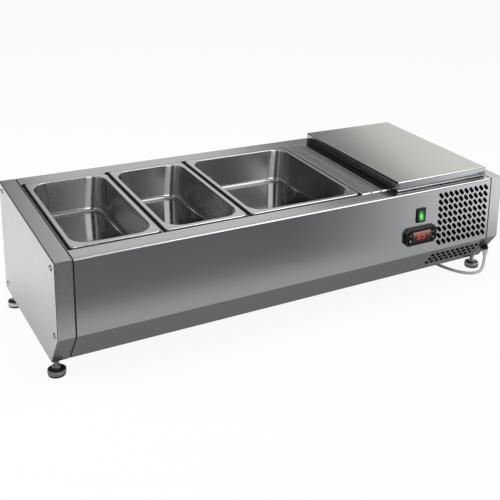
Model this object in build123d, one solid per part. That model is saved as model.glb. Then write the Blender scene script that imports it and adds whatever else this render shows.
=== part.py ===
from build123d import *
import os
from math import cos, pi, radians, sin, tan

# Countertop refrigerated ingredient rail, in mm.
# x runs to the right, y to the back and z up; the origin is on the table, under the middle of the case.

# Case
length = 1040.0
depth = 404.0
deck_angle = 4.0
front_face = 145.0
chamfer_back = 51.0
chamfer_down = 67.0
foot_lift = 32.0
sheet = 1.2
bend = 2.0
cap_width = 32.0
seam = 2.0
frame_lap = 8.0
top_return = 16.0
bottom_return = 25.0
fit = 0.3
slip = 0.05

# Food pans, to the gastronorm sizes
pan_length = 325.0
third_width = 176.0
half_width = 265.0
pan_depth = 78.0
pan_wall = 0.9
pan_rim = 12.5
pan_lip = 6.0
rim_corner = 11.0
mouth_corner = 34.0
pan_draft = 3.0
pan_fillet = 15.0

# Well under the pans
well_left = 36.0
well_corner = 3.0
pan_play = 3.0
ledge_drop = 5.0
ledge = 12.0
tub_depth = 150.0
tub_wall = 1.0
tub_corner = 16.0
tub_ease = 8.0
tub_flange = 10.0

# Bars between and beside the pans
bar_gap = 5.5
divider_width = 4.5
divider_height = 19.0
divider_low = 3.2
bar_proud = 0.8
filler_width = 25.0
filler_gap = 1.0
filler_end = 4.0
bar_wall = 1.2

# Machine cover
cover_left = 2.0
cover_margin = 19.0
cover_height = 20.4
cover_lift = 1.5
cover_hem = 8.0
cover_right = 3.0
hatch_margin = 18.0
hatch_lip = 10.0
buffer_size = 7.0

# Vents
vent_rows = 8
chamfer_rows = 3
vent_pitch = 14.8
vent_row_pitch = 15.6
slot_length = 17.0
slot_width = 8.0
slot_lean = 45.0
vent_margin = 5.2
chamfer_vent = 40.0
rear_slots = 10
rear_slot_length = 110.0
rear_slot_width = 6.0
rear_slot_pitch = 17.0

# Controls
control_room = 42.0
switch_z = 191.0
switch_width = 26.0
switch_height = 33.0
switch_proud = 2.5
switch_body_depth = 22.0
switch_floor = 2.0
tab_pitch = 9.0
tab_width = 6.3
tab_thickness = 0.8
tab_length = 8.0
rocker_width = 19.0
rocker_height = 24.4
rocker_tilt = 7.0
rocker_pivot = 4.0
rocker_pin = 1.5
rocker_crown = 4.0
rocker_valley = 2.6
rocker_waist = 3.0
rocker_root = 6.0
rocker_taper = 1.6
rocker_play = 1.3
thermostat_z = 144.8
thermostat_width = 88.0
thermostat_height = 39.0
thermostat_corner = 8.0
thermostat_proud = 8.0
thermostat_body_width = 71.0
thermostat_body_height = 29.0
thermostat_body_depth = 52.0
connector_width = 59.0
connector_height = 11.0
connector_depth = 10.0
window_width = 48.0
window_height = 23.0
window_thickness = 1.6
key_width = 9.0
key_height = 9.0
key_depth = 4.0
key_proud = 1.0
key_travel = 0.8
key_reach = 32.0
key_rise = 6.5

# Feet
foot_inset_x = 12.0
foot_front = 62.0
foot_back = 32.0
stud_radius = 5.0
stud_top = 62.0
cup_radius = 17.0
cup_bottom = 4.0
cup_top = 12.0
cup_shoulder = 2.0
pad_radius = 16.0
hex_across = 14.0
hex_top = 19.0
nut_across = 15.0
nut_height = 8.0
nut_clear = 0.4

# Screws in the end caps
dome_radius = 6.0
dome_height = 3.2
dome_sides = 12
screw_edge = 22.0
screw_drop = 17.0

# Machine compartment
bulkhead_gap = 12.0
machine_least = 262.0
tube_radius = 4.0
line_radius = 3.0
coil_pitch = 62.0
coil_passes = 4
coil_margin = 10.0
coil_turn_room = 26.0
coil_shift = 30.5
coil_gap = 0.2
coil_cover = 1.8
coil_exit = 22.0
condenser_room = 32.0
service_room = 82.0
condenser_back = 120.0
condenser_depth = 40.0
condenser_bottom = 48.0
condenser_height = 144.0
fin_count = 11
fin_thickness = 0.9
condenser_tubes = 4
condenser_turn = 20.0
end_plate = 1.5
fan_radius = 63.0
fan_gap = 5.0
fan_thickness = 18.0
fan_standoff = 8.0
fan_blades = 5
hub_radius = 20.0
shaft_radius = 3.0
shroud_ring = 12.0
motor_radius = 34.0
motor_length = 42.0
bracket_width = 14.0
compressor_room = 112.0
compressor_ahead = 5.0
compressor_radius = 70.0
compressor_height = 165.0
compressor_wall = 6.0
stub_reach = 14.0
stub_width = 9.0
suction_width = 11.0
suction_drop = 24.0
shell_ease = 8.0
plate_x = 176.0
plate_y = 150.0
plate_thickness = 2.5
mount_radius = 11.0
mount_height = 10.0
mount_inset = 13.0
drier_radius = 11.0
drier_length = 70.0
drier_taper = 16.0
drier_lead = 12.0
line_room = 42.0
capillary_radius = 1.5
capillary_bend = 6.0
riser_gap = 14.0
pipe_bend = 10.0
pipe_sides = 6
box_width = 30.0
box_depth = 60.0
box_height = 50.0
box_rise = 20.0
box_ease = 3.0
probe_radius = 3.0
probe_length = 40.0
probe_drop = 115.0
clip_length = 8.0
clip_height = 7.0
guard_width = 40.0
guard_depth = 44.0
guard_height = 50.0
guard_aside = 26.0
guard_ease = 5.0

# Mains cord, gland, coil and plug
cord_radius = 3.5
gland_down = 40.0
gland_flange = 10.0
gland_thickness = 4.0
gland_elbow = 9.0
gland_neck = 6.5
gland_tip = 4.8
gland_bore = 6.0
gland_sleeve = 14.0
gland_nut = 8.0
loop_radius = 38.5
loop_step = 7.7
loop_lift = 1.6
layer_turns = 2
cord_sides = 6
loop_x = 365.0
loop_behind = 64.0
tie_width = 8.0
tie_wall = 1.0
tie_room = 0.6
plug_width = 36.0
plug_height = 24.0
plug_length = 42.0
relief_length = 45.0
pin_radius = 2.4
pin_length = 19.0
pin_spacing = 19.0

front_y = -(depth - thermostat_proud - key_proud) / 2
back_y = front_y + depth
base_z = foot_lift
fold_z = base_z + chamfer_down
front_z = fold_z + front_face
slope = tan(radians(deck_angle))
back_z = front_z + depth * slope
deck_length = depth / cos(radians(deck_angle))
panel_end = length / 2 - cap_width - seam
frame_end = length / 2 - cap_width - frame_lap
floor_z = base_z + 2 * sheet
mid_z = fold_z + front_face / 2

# The filler bars close what the pans leave of the well, and the machine compartment takes the rest
pans_length = 2 * third_width + half_width + 2 * (bar_gap + pan_play)
filler_pitch = filler_width + filler_gap
filler_room = length - well_left - pans_length - bulkhead_gap - machine_least
filler_count = max(int(filler_room // filler_pitch), 0)
well_length = pans_length + filler_count * filler_pitch
well_x = -length / 2 + well_left + well_length / 2
well_right = well_x + well_length / 2
well_y = deck_length / 2
well_depth = pan_length + 2 * pan_play
bulkhead_x = well_right + bulkhead_gap

deck_place = Pos(0, front_y, front_z) * Rot(deck_angle, 0, 0)
front_plane = Plane(origin=(0, front_y, 0), x_dir=(1, 0, 0), z_dir=(0, -1, 0))
rear_plane = Plane(origin=(0, back_y, 0), x_dir=(-1, 0, 0), z_dir=(0, 1, 0))
chamfer_plane = Plane(
    origin=(0, front_y, fold_z), x_dir=(1, 0, 0), z_dir=(0, -chamfer_down, -chamfer_back)
)

control_x = bulkhead_x + control_room
gland_x = length / 2 - cap_width / 2
condenser_left = bulkhead_x + condenser_room
condenser_width = length / 2 - service_room - condenser_left
compressor_x = bulkhead_x + compressor_room
machine_z = condenser_bottom + condenser_height / 2
machine_x = condenser_left + condenser_width / 2
parts = {}


# A box given by its limits along x, y and z
def block(x0, x1, y0, y1, z0, z1):
    return Pos((x0 + x1) / 2, (y0 + y1) / 2, (z0 + z1) / 2) * Box(x1 - x0, y1 - y0, z1 - z0)


# A round bar from one point along a direction
def rod(start, direction, radius, reach):
    return extrude(Plane(origin=start, z_dir=direction) * Circle(radius), reach)


# A tube along straight runs joined by tangent arcs, with few sides because it is out of sight
def pipe(points, radius, bend_radius):
    line = FilletPolyline(*points, radius=bend_radius)
    return sweep(Plane(origin=line @ 0, z_dir=line % 0) * RegularPolygon(radius, pipe_sides), line)


# The case's side outline, with its top lowered by drop and all its sides moved in by inset
def outline(drop=0.0, inset=0.0):
    top = drop / cos(radians(deck_angle))
    corners = [
        (front_y, front_z - top),
        (front_y, fold_z),
        (front_y + chamfer_back, base_z),
        (back_y, base_z),
        (back_y, back_z - top),
    ]
    face = make_face(Polyline(*corners, close=True))
    if inset:
        face = offset(face, -inset, kind=Kind.INTERSECTION)
    return Plane.YZ * face


# The outline drawn out along x
def slab(face, x0, x1):
    return Pos(x0, 0, 0) * extrude(face, x1 - x0, dir=(1, 0, 0))


# The height and depth of a point given along and above the deck
def from_deck(along, above):
    angle = radians(deck_angle)
    return (
        front_y + along * cos(angle) - above * sin(angle),
        front_z + along * sin(angle) + above * cos(angle),
    )


# Where the end caps' screws and the feet's studs go
side_screws = [
    (front_y + screw_edge, front_z - screw_drop),
    (front_y + screw_edge, fold_z),
    (back_y - screw_edge, back_z - screw_drop),
    (back_y - screw_edge, base_z + screw_drop),
]
foot_x = length / 2 - foot_inset_x
foot_ys = {"front": front_y + foot_front, "rear": back_y - foot_back}


# Holes for the studs in an end cap, and the room for their nuts in an end frame
def stud_holes(side):
    return [rod((side * foot_x, y, base_z - 1), (0, 0, 1), stud_radius + fit, 5) for y in foot_ys.values()]


def nut_room(side):
    room = nut_across / 2 / cos(radians(30)) + nut_clear
    x = side * foot_x
    top = base_z + nut_height + 2 * sheet
    return [block(x - room, x + room, y - room, y + room, base_z, top) for y in foot_ys.values()]


# The gland's hole through the right end cap and its frame
gland_seat = chamfer_plane * Pos(gland_x, -gland_down, 0)
gland_hole = gland_seat * Cylinder(gland_bore + fit, 8 * sheet)


# End caps: folded trays that close the case
def end_cap(side):
    x0 = -length / 2
    tray = slab(outline(), x0, x0 + cap_width)
    tray -= slab(outline(inset=sheet), x0 + sheet, x0 + cap_width)
    tray = fillet(tray.faces().sort_by(Axis.X)[0].edges(), bend)
    if side > 0:
        tray = mirror(tray, about=Plane.YZ)
    return tray - stud_holes(side)


parts["left_end_cap"] = end_cap(-1)
parts["right_end_cap"] = end_cap(1) - gland_hole


# End frames: trays inside the caps, which reach under the panels' ends
def end_frame(side):
    x0 = -length / 2 + sheet
    tray = slab(outline(inset=sheet), x0, -frame_end)
    tray -= slab(outline(inset=2 * sheet), x0 + sheet, -frame_end)
    if side > 0:
        tray = mirror(tray, about=Plane.YZ)
    return tray - nut_room(side)


# Room round the tub's flange, which the frames' and panels' top returns keep clear of
tub_room = 2 * tub_flange + 4
tub_space = Pos(well_x, well_y) * Box(well_length + tub_room, well_depth + tub_room, 2 * top_return)

# Skin that the front and rear panels are cut from
skin = slab(outline(drop=sheet), -panel_end, panel_end)
skin -= slab(outline(drop=sheet, inset=sheet), -panel_end, panel_end)
skin -= deck_place * tub_space
notches = [
    block(frame_end - 1, length, front_y + sheet, back_y - sheet, mid_z, 2 * front_z),
    block(-length, 1 - frame_end, front_y + sheet, back_y - sheet, mid_z, 2 * front_z),
]

# A vent slot with eased ends, and a grid of them
slot_end = slot_length / 2
slot_shoulder = slot_end - slot_width / 2
slot = make_face(
    Polyline(
        (-slot_end, 0),
        (-slot_shoulder, slot_width / 2),
        (slot_shoulder, slot_width / 2),
        (slot_end, 0),
        (slot_shoulder, -slot_width / 2),
        (-slot_shoulder, -slot_width / 2),
        close=True,
    )
)


def vent_grid(plane, x, y, columns, rows):
    face = extrude(Rot(0, 0, -slot_lean) * slot, 2 * sheet, both=True)
    return [plane * Pos(x, y) * spot * face for spot in GridLocations(vent_pitch, vent_row_pitch, columns, rows)]


# Front panel: upright face, fold, slanted face and returns
front_panel = skin & (
    block(-length, length, front_y, front_y + top_return, mid_z, 2 * front_z)
    + block(-length, length, front_y, front_y + chamfer_back + bottom_return, base_z, mid_z)
)
front_panel -= notches
vent_left = control_x + thermostat_width / 2 + vent_margin
slot_span = slot_width + (slot_length - slot_width) * cos(radians(slot_lean))
vent_columns = 1 + int((panel_end - vent_margin - slot_span - vent_left) // vent_pitch)
vent_x = vent_left + (slot_span + (vent_columns - 1) * vent_pitch) / 2
front_panel -= vent_grid(front_plane, vent_x, mid_z, vent_columns, vent_rows)
front_panel -= vent_grid(chamfer_plane, vent_x, -chamfer_vent, vent_columns, chamfer_rows)
switch_body = (switch_width - 3, switch_height - 3)
switch_hole = Rectangle(switch_body[0] + 2 * fit, switch_body[1] + 2 * fit)
thermostat_hole = Rectangle(thermostat_body_width + 2 * fit, thermostat_body_height + 2 * fit)
front_panel -= extrude(front_plane * Pos(control_x, switch_z) * switch_hole, 2 * sheet, both=True)
front_panel -= extrude(front_plane * Pos(control_x, thermostat_z) * thermostat_hole, 2 * sheet, both=True)
parts["front_panel"] = front_panel

# Rear panel with its own vents behind the machine compartment
rear_panel = skin & (
    block(-length, length, back_y - top_return, back_y, mid_z, 2 * front_z)
    + block(-length, length, back_y - bottom_return, back_y, base_z, mid_z)
)
rear_panel -= notches
rear_face = chamfer(Rectangle(rear_slot_width, rear_slot_length).vertices(), 1.5)
rear_slot = extrude(rear_face, 2 * sheet, both=True)
rear_spots = GridLocations(rear_slot_pitch, 1, rear_slots, 1)
rear_panel -= [rear_plane * Pos(-compressor_x, mid_z) * spot * rear_slot for spot in rear_spots]
parts["rear_panel"] = rear_panel

# Base pan on the panels' bottom returns
base_front = front_y + chamfer_back + 2
parts["base_pan"] = block(
    1 - frame_end, frame_end - 1, base_front, back_y - 2 * sheet, base_z + sheet, floor_z
)

# Deck sheet, in deck coordinates: y runs back along the deck and z stands out of it
cover_end = panel_end + seam - cover_right
cover_width = cover_end - well_right - cover_left
cover_depth = deck_length - 2 * cover_margin
cover_x = cover_end - cover_width / 2
hatch = (cover_width - 2 * hatch_margin, cover_depth - 2 * hatch_margin)


def well_rect(grow, corner):
    return Pos(well_x, well_y) * RectangleRounded(well_length + 2 * grow, well_depth + 2 * grow, corner)


# A flat shape drawn out from one height to another, in deck coordinates
def rise(face, low, high):
    return extrude(Pos(0, 0, low) * face, high - low)


deck_plate = Pos(0, deck_length / 2) * Rectangle(2 * panel_end, deck_length - sheet)
deck = rise(deck_plate - well_rect(0, well_corner), -sheet, 0)
deck = fillet(deck.edges().filter_by(Axis.X).group_by(Axis.Z)[-1].sort_by(Axis.Y)[0], sheet * 0.8)
hatch_outer = Pos(cover_x, well_y) * Rectangle(hatch[0], hatch[1])
hatch_inner = Pos(cover_x, well_y) * Rectangle(hatch[0] - 2 * sheet, hatch[1] - 2 * sheet)
deck += rise(hatch_outer, -sheet, hatch_lip)
deck -= rise(hatch_inner, -2 * sheet, 2 * hatch_lip)
parts["deck_sheet"] = deck_place * deck

parts["left_end_frame"] = end_frame(-1) - deck_place * tub_space
parts["right_end_frame"] = end_frame(1) - gland_hole

# Inner tub: flange under the deck, step and ledge for the pans, and the basin
tub_mouth = -ledge
ledge_top = -ledge_drop
tub_floor = -tub_depth
flange = Rectangle(well_length + 2 * tub_flange, well_depth + 2 * tub_flange)
tub = rise(Pos(well_x, well_y) * flange, -sheet - tub_wall, -sheet)
tub += rise(well_rect(tub_wall, well_corner + tub_wall), ledge_top - tub_wall, -sheet)
tub -= rise(well_rect(0, well_corner), ledge_top, 0)
basin = rise(well_rect(tub_mouth + tub_wall, tub_corner + tub_wall), tub_floor - tub_wall, ledge_top)
basin = chamfer(basin.faces().sort_by(Axis.Z)[0].edges(), tub_ease)
hollow = rise(well_rect(tub_mouth, tub_corner), tub_floor, 0)
hollow = chamfer(hollow.faces().sort_by(Axis.Z)[0].edges(), tub_ease)
parts["inner_tub"] = deck_place * (tub + basin - hollow)


# Food pan, in deck coordinates about its own centre: rim with a turned-down lip, and a tapered basin
def food_pan(width):
    rim_top = ledge_top + pan_lip
    rim = rise(RectangleRounded(width, pan_length, rim_corner), ledge_top, rim_top)
    rim = chamfer(rim.faces().sort_by(Axis.Z)[-1].edges(), pan_wall)
    rim -= rise(
        RectangleRounded(width - 2 * pan_wall, pan_length - 2 * pan_wall, rim_corner - pan_wall),
        ledge_top - 1,
        rim_top - 2 * pan_wall,
    )
    mouth = (width - 2 * pan_rim, pan_length - 2 * pan_rim)

    def cup(shrink, drop):
        face = RectangleRounded(mouth[0] - 2 * shrink, mouth[1] - 2 * shrink, mouth_corner - shrink)
        return extrude(Pos(0, 0, rim_top) * face, drop, dir=(0, 0, -1), taper=pan_draft)

    outer = cup(0, pan_depth)
    outer = chamfer(outer.faces().sort_by(Axis.Z)[0].edges(), pan_fillet * 0.55)
    inner = cup(pan_wall, pan_depth - pan_wall)
    inner = fillet(inner.faces().sort_by(Axis.Z)[0].edges(), pan_fillet - pan_wall)
    below_rim = block(-width, width, -pan_length, pan_length, -tub_depth, rim_top - pan_wall)
    return rim + (outer & below_rim) - inner


third_left_x = -length / 2 + well_left + pan_play + third_width / 2
third_right_x = third_left_x + third_width + bar_gap
half_x = third_right_x + third_width / 2 + bar_gap + half_width / 2
third_pan = food_pan(third_width)
parts["pan_third_left"] = deck_place * Pos(third_left_x, well_y) * third_pan
parts["pan_third_right"] = deck_place * Pos(third_right_x, well_y) * third_pan
parts["pan_half"] = deck_place * Pos(half_x, well_y) * food_pan(half_width)

# Divider bars: folded strips on edge that stand on the ledges between two pans
bar_length = well_depth - 2
blade_length = well_depth - 2 * ledge - pan_play


def divider_bar():
    top = -divider_low
    bar = rise(Rectangle(divider_width, bar_length), ledge_top, top)
    bar = fillet(bar.faces().sort_by(Axis.Z)[-1].edges().filter_by(Axis.Y), bar_wall)
    bar += rise(Rectangle(divider_width, blade_length), top - divider_height, ledge_top)
    hollow = Rectangle(divider_width - 2 * bar_wall, blade_length)
    return bar - rise(hollow, top - divider_height - 1, top - bar_wall)


divider = divider_bar()
parts["divider_left"] = deck_place * Pos((third_left_x + third_right_x) / 2, well_y) * divider
divider_right_x = third_right_x + (third_width + bar_gap) / 2
parts["divider_right"] = deck_place * Pos(divider_right_x, well_y) * divider


# Filler bars: inverted channels with rounded ends, side by side to the right of the pans
def filler_bar():
    bar = rise(Rectangle(filler_width, bar_length), ledge_top, bar_proud)
    bar = fillet(bar.faces().sort_by(Axis.Z)[-1].edges().filter_by(Axis.X), filler_end)
    hollow = Rectangle(filler_width - 2 * bar_wall, bar_length - 2 * filler_end)
    return bar - rise(hollow, ledge_top - 1, bar_proud - bar_wall)


filler_right = well_right - filler_gap
filler = filler_bar()
for number in range(filler_count):
    x = filler_right - filler_width / 2 - number * filler_pitch
    parts[f"filler_bar_{filler_count - number}"] = deck_place * Pos(x, well_y) * filler

# Machine cover: inverted tray with a hem, and the buffers under it
cover_top = cover_lift + cover_height


def cover_rect(shrink):
    return Pos(cover_x, well_y) * Rectangle(cover_width - 2 * shrink, cover_depth - 2 * shrink)


cover = rise(cover_rect(0), cover_lift, cover_top)
cover = fillet(cover.faces().sort_by(Axis.Z)[-1].edges(), bend)
cover -= rise(cover_rect(sheet), cover_lift + sheet, cover_top - sheet)
cover -= rise(cover_rect(cover_hem), 0, cover_lift + 2 * sheet)
parts["machine_cover"] = deck_place * cover
buffer_spots = GridLocations(cover_width - cover_hem, cover_depth - 60, 2, 2)
buffer = rise(Rectangle(buffer_size - 2, 2 * buffer_size), 0, cover_lift)
cover_place = deck_place * Pos(cover_x, well_y)
parts["cover_buffers"] = Compound([cover_place * spot * buffer for spot in buffer_spots])

# Foam round the tub
foam_right = bulkhead_x
foam_top = 2 * sheet + fit
foam = slab(outline(inset=2 * sheet), -length / 2 + 2 * sheet, foam_right)
foam += slab(outline(drop=sheet, inset=sheet), -frame_end, foam_right) & block(
    -length, length, -depth, depth, floor_z, 2 * front_z
)
above_deck = rise(Pos(0, deck_length / 2) * Rectangle(2 * length, 2 * depth), -foam_top, front_z)
nest = Box(well_length + tub_room - 2, well_depth + tub_room - 2, 2 * ledge)
basin_drop = tub_depth + tub_wall + coil_gap + 2 * tube_radius + coil_cover
basin_room = Box(well_length - 2 * ledge + 4, well_depth - 2 * ledge + 4, 2 * basin_drop)
foam -= deck_place * (above_deck + Pos(well_x, well_y) * (nest + basin_room))
for y in foot_ys.values():
    foam -= block(-length, nut_across - foot_x, y - nut_across, y + nut_across, 0, stud_top + 4)

# Evaporator: one tube in long runs under the tub's floor
coil_plane = tub_floor - tub_wall - coil_gap - tube_radius
coil_end = bulkhead_x + coil_exit
coil_front = well_y + coil_shift - coil_pitch * (coil_passes - 1) / 2
coil_runs = [coil_front + coil_pitch * number for number in range(coil_passes)]
coil_left = well_x - well_length / 2 + ledge + coil_margin
coil_right = well_right - ledge - coil_turn_room
coil_path = [(coil_end, coil_runs[0])]
for number, run in enumerate(coil_runs):
    near, far = (coil_right, coil_left) if number % 2 == 0 else (coil_left, coil_right)
    if number > 0:
        coil_path.append((near, run))
    if number < coil_passes - 1:
        coil_path.append((far, run))
coil_path.append((coil_end, coil_runs[-1]))
coil_points = [(x, y, coil_plane) for x, y in coil_path]
parts["evaporator"] = deck_place * pipe(coil_points, tube_radius, 0.49 * coil_pitch)
exit_bores = []
for run in (coil_runs[0], coil_runs[-1]):
    y, z = from_deck(run, coil_plane)
    bore = Box(2 * coil_pitch, 2 * tube_radius + 2, 2 * tube_radius + 2)
    exit_bores.append(Pos(bulkhead_x, y, z) * bore)
parts["insulation"] = foam - exit_bores

# Bulkhead between the well and the machine compartment
bulkhead = slab(outline(drop=sheet, inset=sheet), bulkhead_x, bulkhead_x + sheet)
bulkhead &= block(-length, length, -depth, depth, floor_z, 2 * front_z)
bulkhead -= deck_place * above_deck
parts["machine_bulkhead"] = bulkhead - exit_bores

# Rocker switch, in panel coordinates: x to the right, y up, z out of the panel
switch_place = front_plane * Pos(control_x, switch_z)
opening = (rocker_width + 2 * fit, rocker_height + 2 * rocker_play)
housing = extrude(chamfer(Rectangle(switch_width, switch_height).vertices(), 2), switch_proud)
housing = chamfer(housing.faces().sort_by(Axis.Z)[-1].edges(), 0.8)
housing += extrude(Rectangle(*switch_body), -switch_body_depth)
housing -= extrude(Pos(0, 0, switch_floor - switch_body_depth) * Rectangle(*opening), 2 * switch_body_depth)
housing -= Pos(0, 0, -rocker_pivot) * Rot(0, 90, 0) * Cylinder(rocker_pin + slip, 2 * switch_width)
for tab in range(-1, 2):
    spot = Pos(0, tab_pitch * tab, -switch_body_depth - tab_length / 2)
    housing += spot * Box(tab_width, tab_thickness, tab_length)
parts["switch_housing"] = switch_place * housing

# Rocker: two planes that meet in a shallow valley, and a pin on each side
half = rocker_height / 2
profile = make_face(
    Polyline(
        (-half, rocker_crown),
        (0, rocker_valley),
        (half, rocker_crown),
        (half - rocker_taper, -rocker_waist),
        (rocker_crown, -rocker_root),
        (-rocker_crown, -rocker_root),
        (rocker_taper - half, -rocker_waist),
        close=True,
    )
)
rocker = extrude(Plane.YZ * profile, rocker_width / 2, both=True)
rocker += Pos(0, 0, -rocker_pivot) * Rot(0, 90, 0) * Cylinder(rocker_pin, switch_body[0] - 0.6)
tipped = Pos(0, 0, -rocker_pivot) * Rot(-rocker_tilt, 0, 0) * Pos(0, 0, rocker_pivot)
parts["switch_rocker"] = switch_place * tipped * rocker

# Thermostat: eight-sided face with pockets for the window and the keys, and a body behind the panel
thermostat_place = front_plane * Pos(control_x, thermostat_z)
face = chamfer(Rectangle(thermostat_width, thermostat_height).vertices(), thermostat_corner)
case = extrude(face, thermostat_proud)
case = chamfer(case.faces().sort_by(Axis.Z)[-1].edges(), bend)
case += extrude(Rectangle(thermostat_body_width, thermostat_body_height), -thermostat_body_depth)
window = Rectangle(window_width, window_height)
window_pocket = Rectangle(window_width + 2 * slip, window_height + 2 * slip)
case -= extrude(Pos(0, 0, thermostat_proud - window_thickness) * window_pocket, bend)
key_bottom = thermostat_proud - key_depth
key_spots = GridLocations(2 * key_reach, 2 * key_rise, 2, 2)
key_pocket = extrude(Rectangle(key_width + 2 * fit, key_height + 2 * fit), 2 * key_depth)
case -= [Pos(0, 0, key_bottom - key_travel - fit) * spot * key_pocket for spot in key_spots]
connector = Box(connector_width, connector_height, connector_depth)
case += Pos(0, 0, -thermostat_body_depth - connector_depth / 2) * connector
parts["thermostat_housing"] = thermostat_place * case
parts["thermostat_window"] = thermostat_place * extrude(
    Pos(0, 0, thermostat_proud - window_thickness) * window, window_thickness - fit
)
key = extrude(chamfer(Rectangle(key_width, key_height).vertices(), 1.5), key_depth + key_proud)
for name, spot in zip(("set", "up", "down", "defrost"), key_spots):
    parts[f"thermostat_key_{name}"] = thermostat_place * Pos(0, 0, key_bottom) * spot * key

# Domed screw heads, shared by both end caps
screw = extrude(RegularPolygon(dome_radius, dome_sides), dome_height)
screw = chamfer(screw.faces().sort_by(Axis.Z)[-1].edges(), dome_height * 0.5, dome_height * 0.8)
screws = [
    Plane(origin=(side * length / 2, y, z), z_dir=(side, 0, 0)) * screw
    for side in (-1, 1)
    for y, z in side_screws
]
parts["end_cap_screws"] = Compound(screws)

# Feet: stud with a hexagon and a steel cup, and the rubber pad in the cup
cup_profile = Polyline(
    (0, cup_bottom),
    (cup_radius, cup_bottom),
    (cup_radius, cup_top - cup_shoulder),
    (hex_across, cup_top),
    (0, cup_top),
    close=True,
)
stud = revolve(Plane.XZ * make_face(cup_profile), Axis.Z)
stud += extrude(Pos(0, 0, cup_top) * RegularPolygon(hex_across / 2, 6, major_radius=False), hex_top - cup_top)
stud += extrude(Pos(0, 0, hex_top) * Circle(stud_radius), stud_top - hex_top)
pad = extrude(Circle(pad_radius), cup_bottom)
nut = extrude(RegularPolygon(nut_across / 2, 6, major_radius=False), nut_height)
nut -= extrude(RegularPolygon(stud_radius + 2 * slip, 12, major_radius=False), nut_height)
nuts = []
for end, x in (("left", -foot_x), ("right", foot_x)):
    for place, y in foot_ys.items():
        parts[f"foot_stud_{place}_{end}"] = Pos(x, y) * stud
        parts[f"foot_pad_{place}_{end}"] = Pos(x, y) * pad
        nuts.append(Pos(x, y, base_z + sheet) * nut)
parts["foot_nuts"] = Compound(nuts)

# Compressor: welded shell on a foot plate, standing on rubber mounts
plate_z = floor_z + mount_height
shell_z = plate_z + plate_thickness
shroud_y = front_y + condenser_back
motor_front = fan_gap + fan_thickness + fan_standoff
motor_back = motor_front + motor_length
compressor_y = (shroud_y + motor_back + back_y) / 2 - compressor_ahead
compressor_place = Pos(compressor_x, compressor_y)
shell_top = shell_z + compressor_height
dome = compressor_radius * 0.5
shell_profile = Polyline(
    (0, shell_z),
    (compressor_radius - shell_ease, shell_z),
    (compressor_radius, shell_z + shell_ease),
    (compressor_radius, shell_top - dome),
    (compressor_radius * 0.86, shell_top - dome * 0.45),
    (compressor_radius * 0.5, shell_top),
    (0, shell_top),
    close=True,
)
shell = revolve(Plane.XZ * make_face(shell_profile), Axis.Z)
shell -= extrude(
    Pos(0, 0, shell_z + compressor_wall) * Circle(compressor_radius - compressor_wall),
    compressor_height - dome - 2 * compressor_wall,
)
plate = extrude(
    Pos(0, 0, plate_z) * chamfer(Rectangle(plate_x, plate_y).vertices(), mount_inset / 2), plate_thickness
)
mount_spots = GridLocations(plate_x - 2 * mount_inset, plate_y - 2 * mount_inset, 2, 2)
tube_pitch = condenser_height / condenser_tubes
tube_zs = [condenser_bottom + tube_pitch * (number + 0.5) for number in range(condenser_tubes)]
stub_z = tube_zs[-1]
inlet_y, inlet_z = from_deck(coil_runs[0], coil_plane)
outlet_y, outlet_z = from_deck(coil_runs[-1], coil_plane)
suction_y = outlet_y - compressor_y
suction_z = stub_z - suction_drop
discharge_stub = Pos(compressor_radius, 0, stub_z) * Box(2 * stub_reach, stub_width, stub_width)
suction_stub = Box(2 * stub_reach, suction_width, suction_width)
suction_stub = Pos(stub_reach - compressor_radius, suction_y, suction_z) * suction_stub
shell += [discharge_stub, suction_stub]
parts["compressor"] = compressor_place * (shell + plate)
mount = extrude(RegularPolygon(mount_radius, 12), mount_height)
parts["compressor_mounts"] = Compound(
    [compressor_place * spot * Pos(0, 0, floor_z) * mount for spot in mount_spots]
)
guard_x = compressor_radius + shell_ease
guard_place = Pos(guard_x, -guard_aside, shell_z + guard_height)
terminal_cover = guard_place * Box(guard_width, guard_depth, guard_height)
terminal_cover = chamfer(terminal_cover.faces().sort_by(Axis.X)[-1].edges(), guard_ease)
terminal_cover -= rod((0, 0, shell_z), (0, 0, 1), compressor_radius, compressor_height)
parts["compressor_terminal_cover"] = compressor_place * terminal_cover

# Condenser: fins on one tube in level runs, between two end plates that stand on the base
condenser_y = front_y + condenser_back - condenser_depth / 2
fin_pitch = (condenser_width - end_plate) / (fin_count + 1)
fin_hole = RegularPolygon(tube_radius + 2 * slip, pipe_sides, major_radius=False)
fin = Rectangle(condenser_depth, condenser_height)
fin -= [Pos(0, z - machine_z) * fin_hole for z in tube_zs]
fins = []
for number in range(1, fin_count + 1):
    spot = Pos(condenser_left + number * fin_pitch, condenser_y, machine_z)
    fins.append(spot * extrude(Plane.YZ * fin, fin_thickness))
plate_face = Rectangle(condenser_depth, condenser_height + 2 * (condenser_bottom - floor_z))
plate_face -= [Pos(0, z - machine_z) * fin_hole for z in tube_zs]
for x in (condenser_left, condenser_left + condenser_width - end_plate):
    fins.append(Pos(x, condenser_y, machine_z) * extrude(Plane.YZ * plate_face, end_plate))
parts["condenser_fins"] = Compound(fins)
turn_left = condenser_left - condenser_turn
turn_right = condenser_left + condenser_width + condenser_turn
turns = [(turn_right, tube_zs[3]), (turn_left, tube_zs[3]), (turn_left, tube_zs[2])]
turns += [(turn_right, tube_zs[2]), (turn_right, tube_zs[1]), (turn_left, tube_zs[1])]
turns += [(turn_left, tube_zs[0]), (turn_right, tube_zs[0])]
parts["condenser_tube"] = pipe([(x, condenser_y, z) for x, z in turns], tube_radius, 0.45 * tube_pitch)

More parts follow.
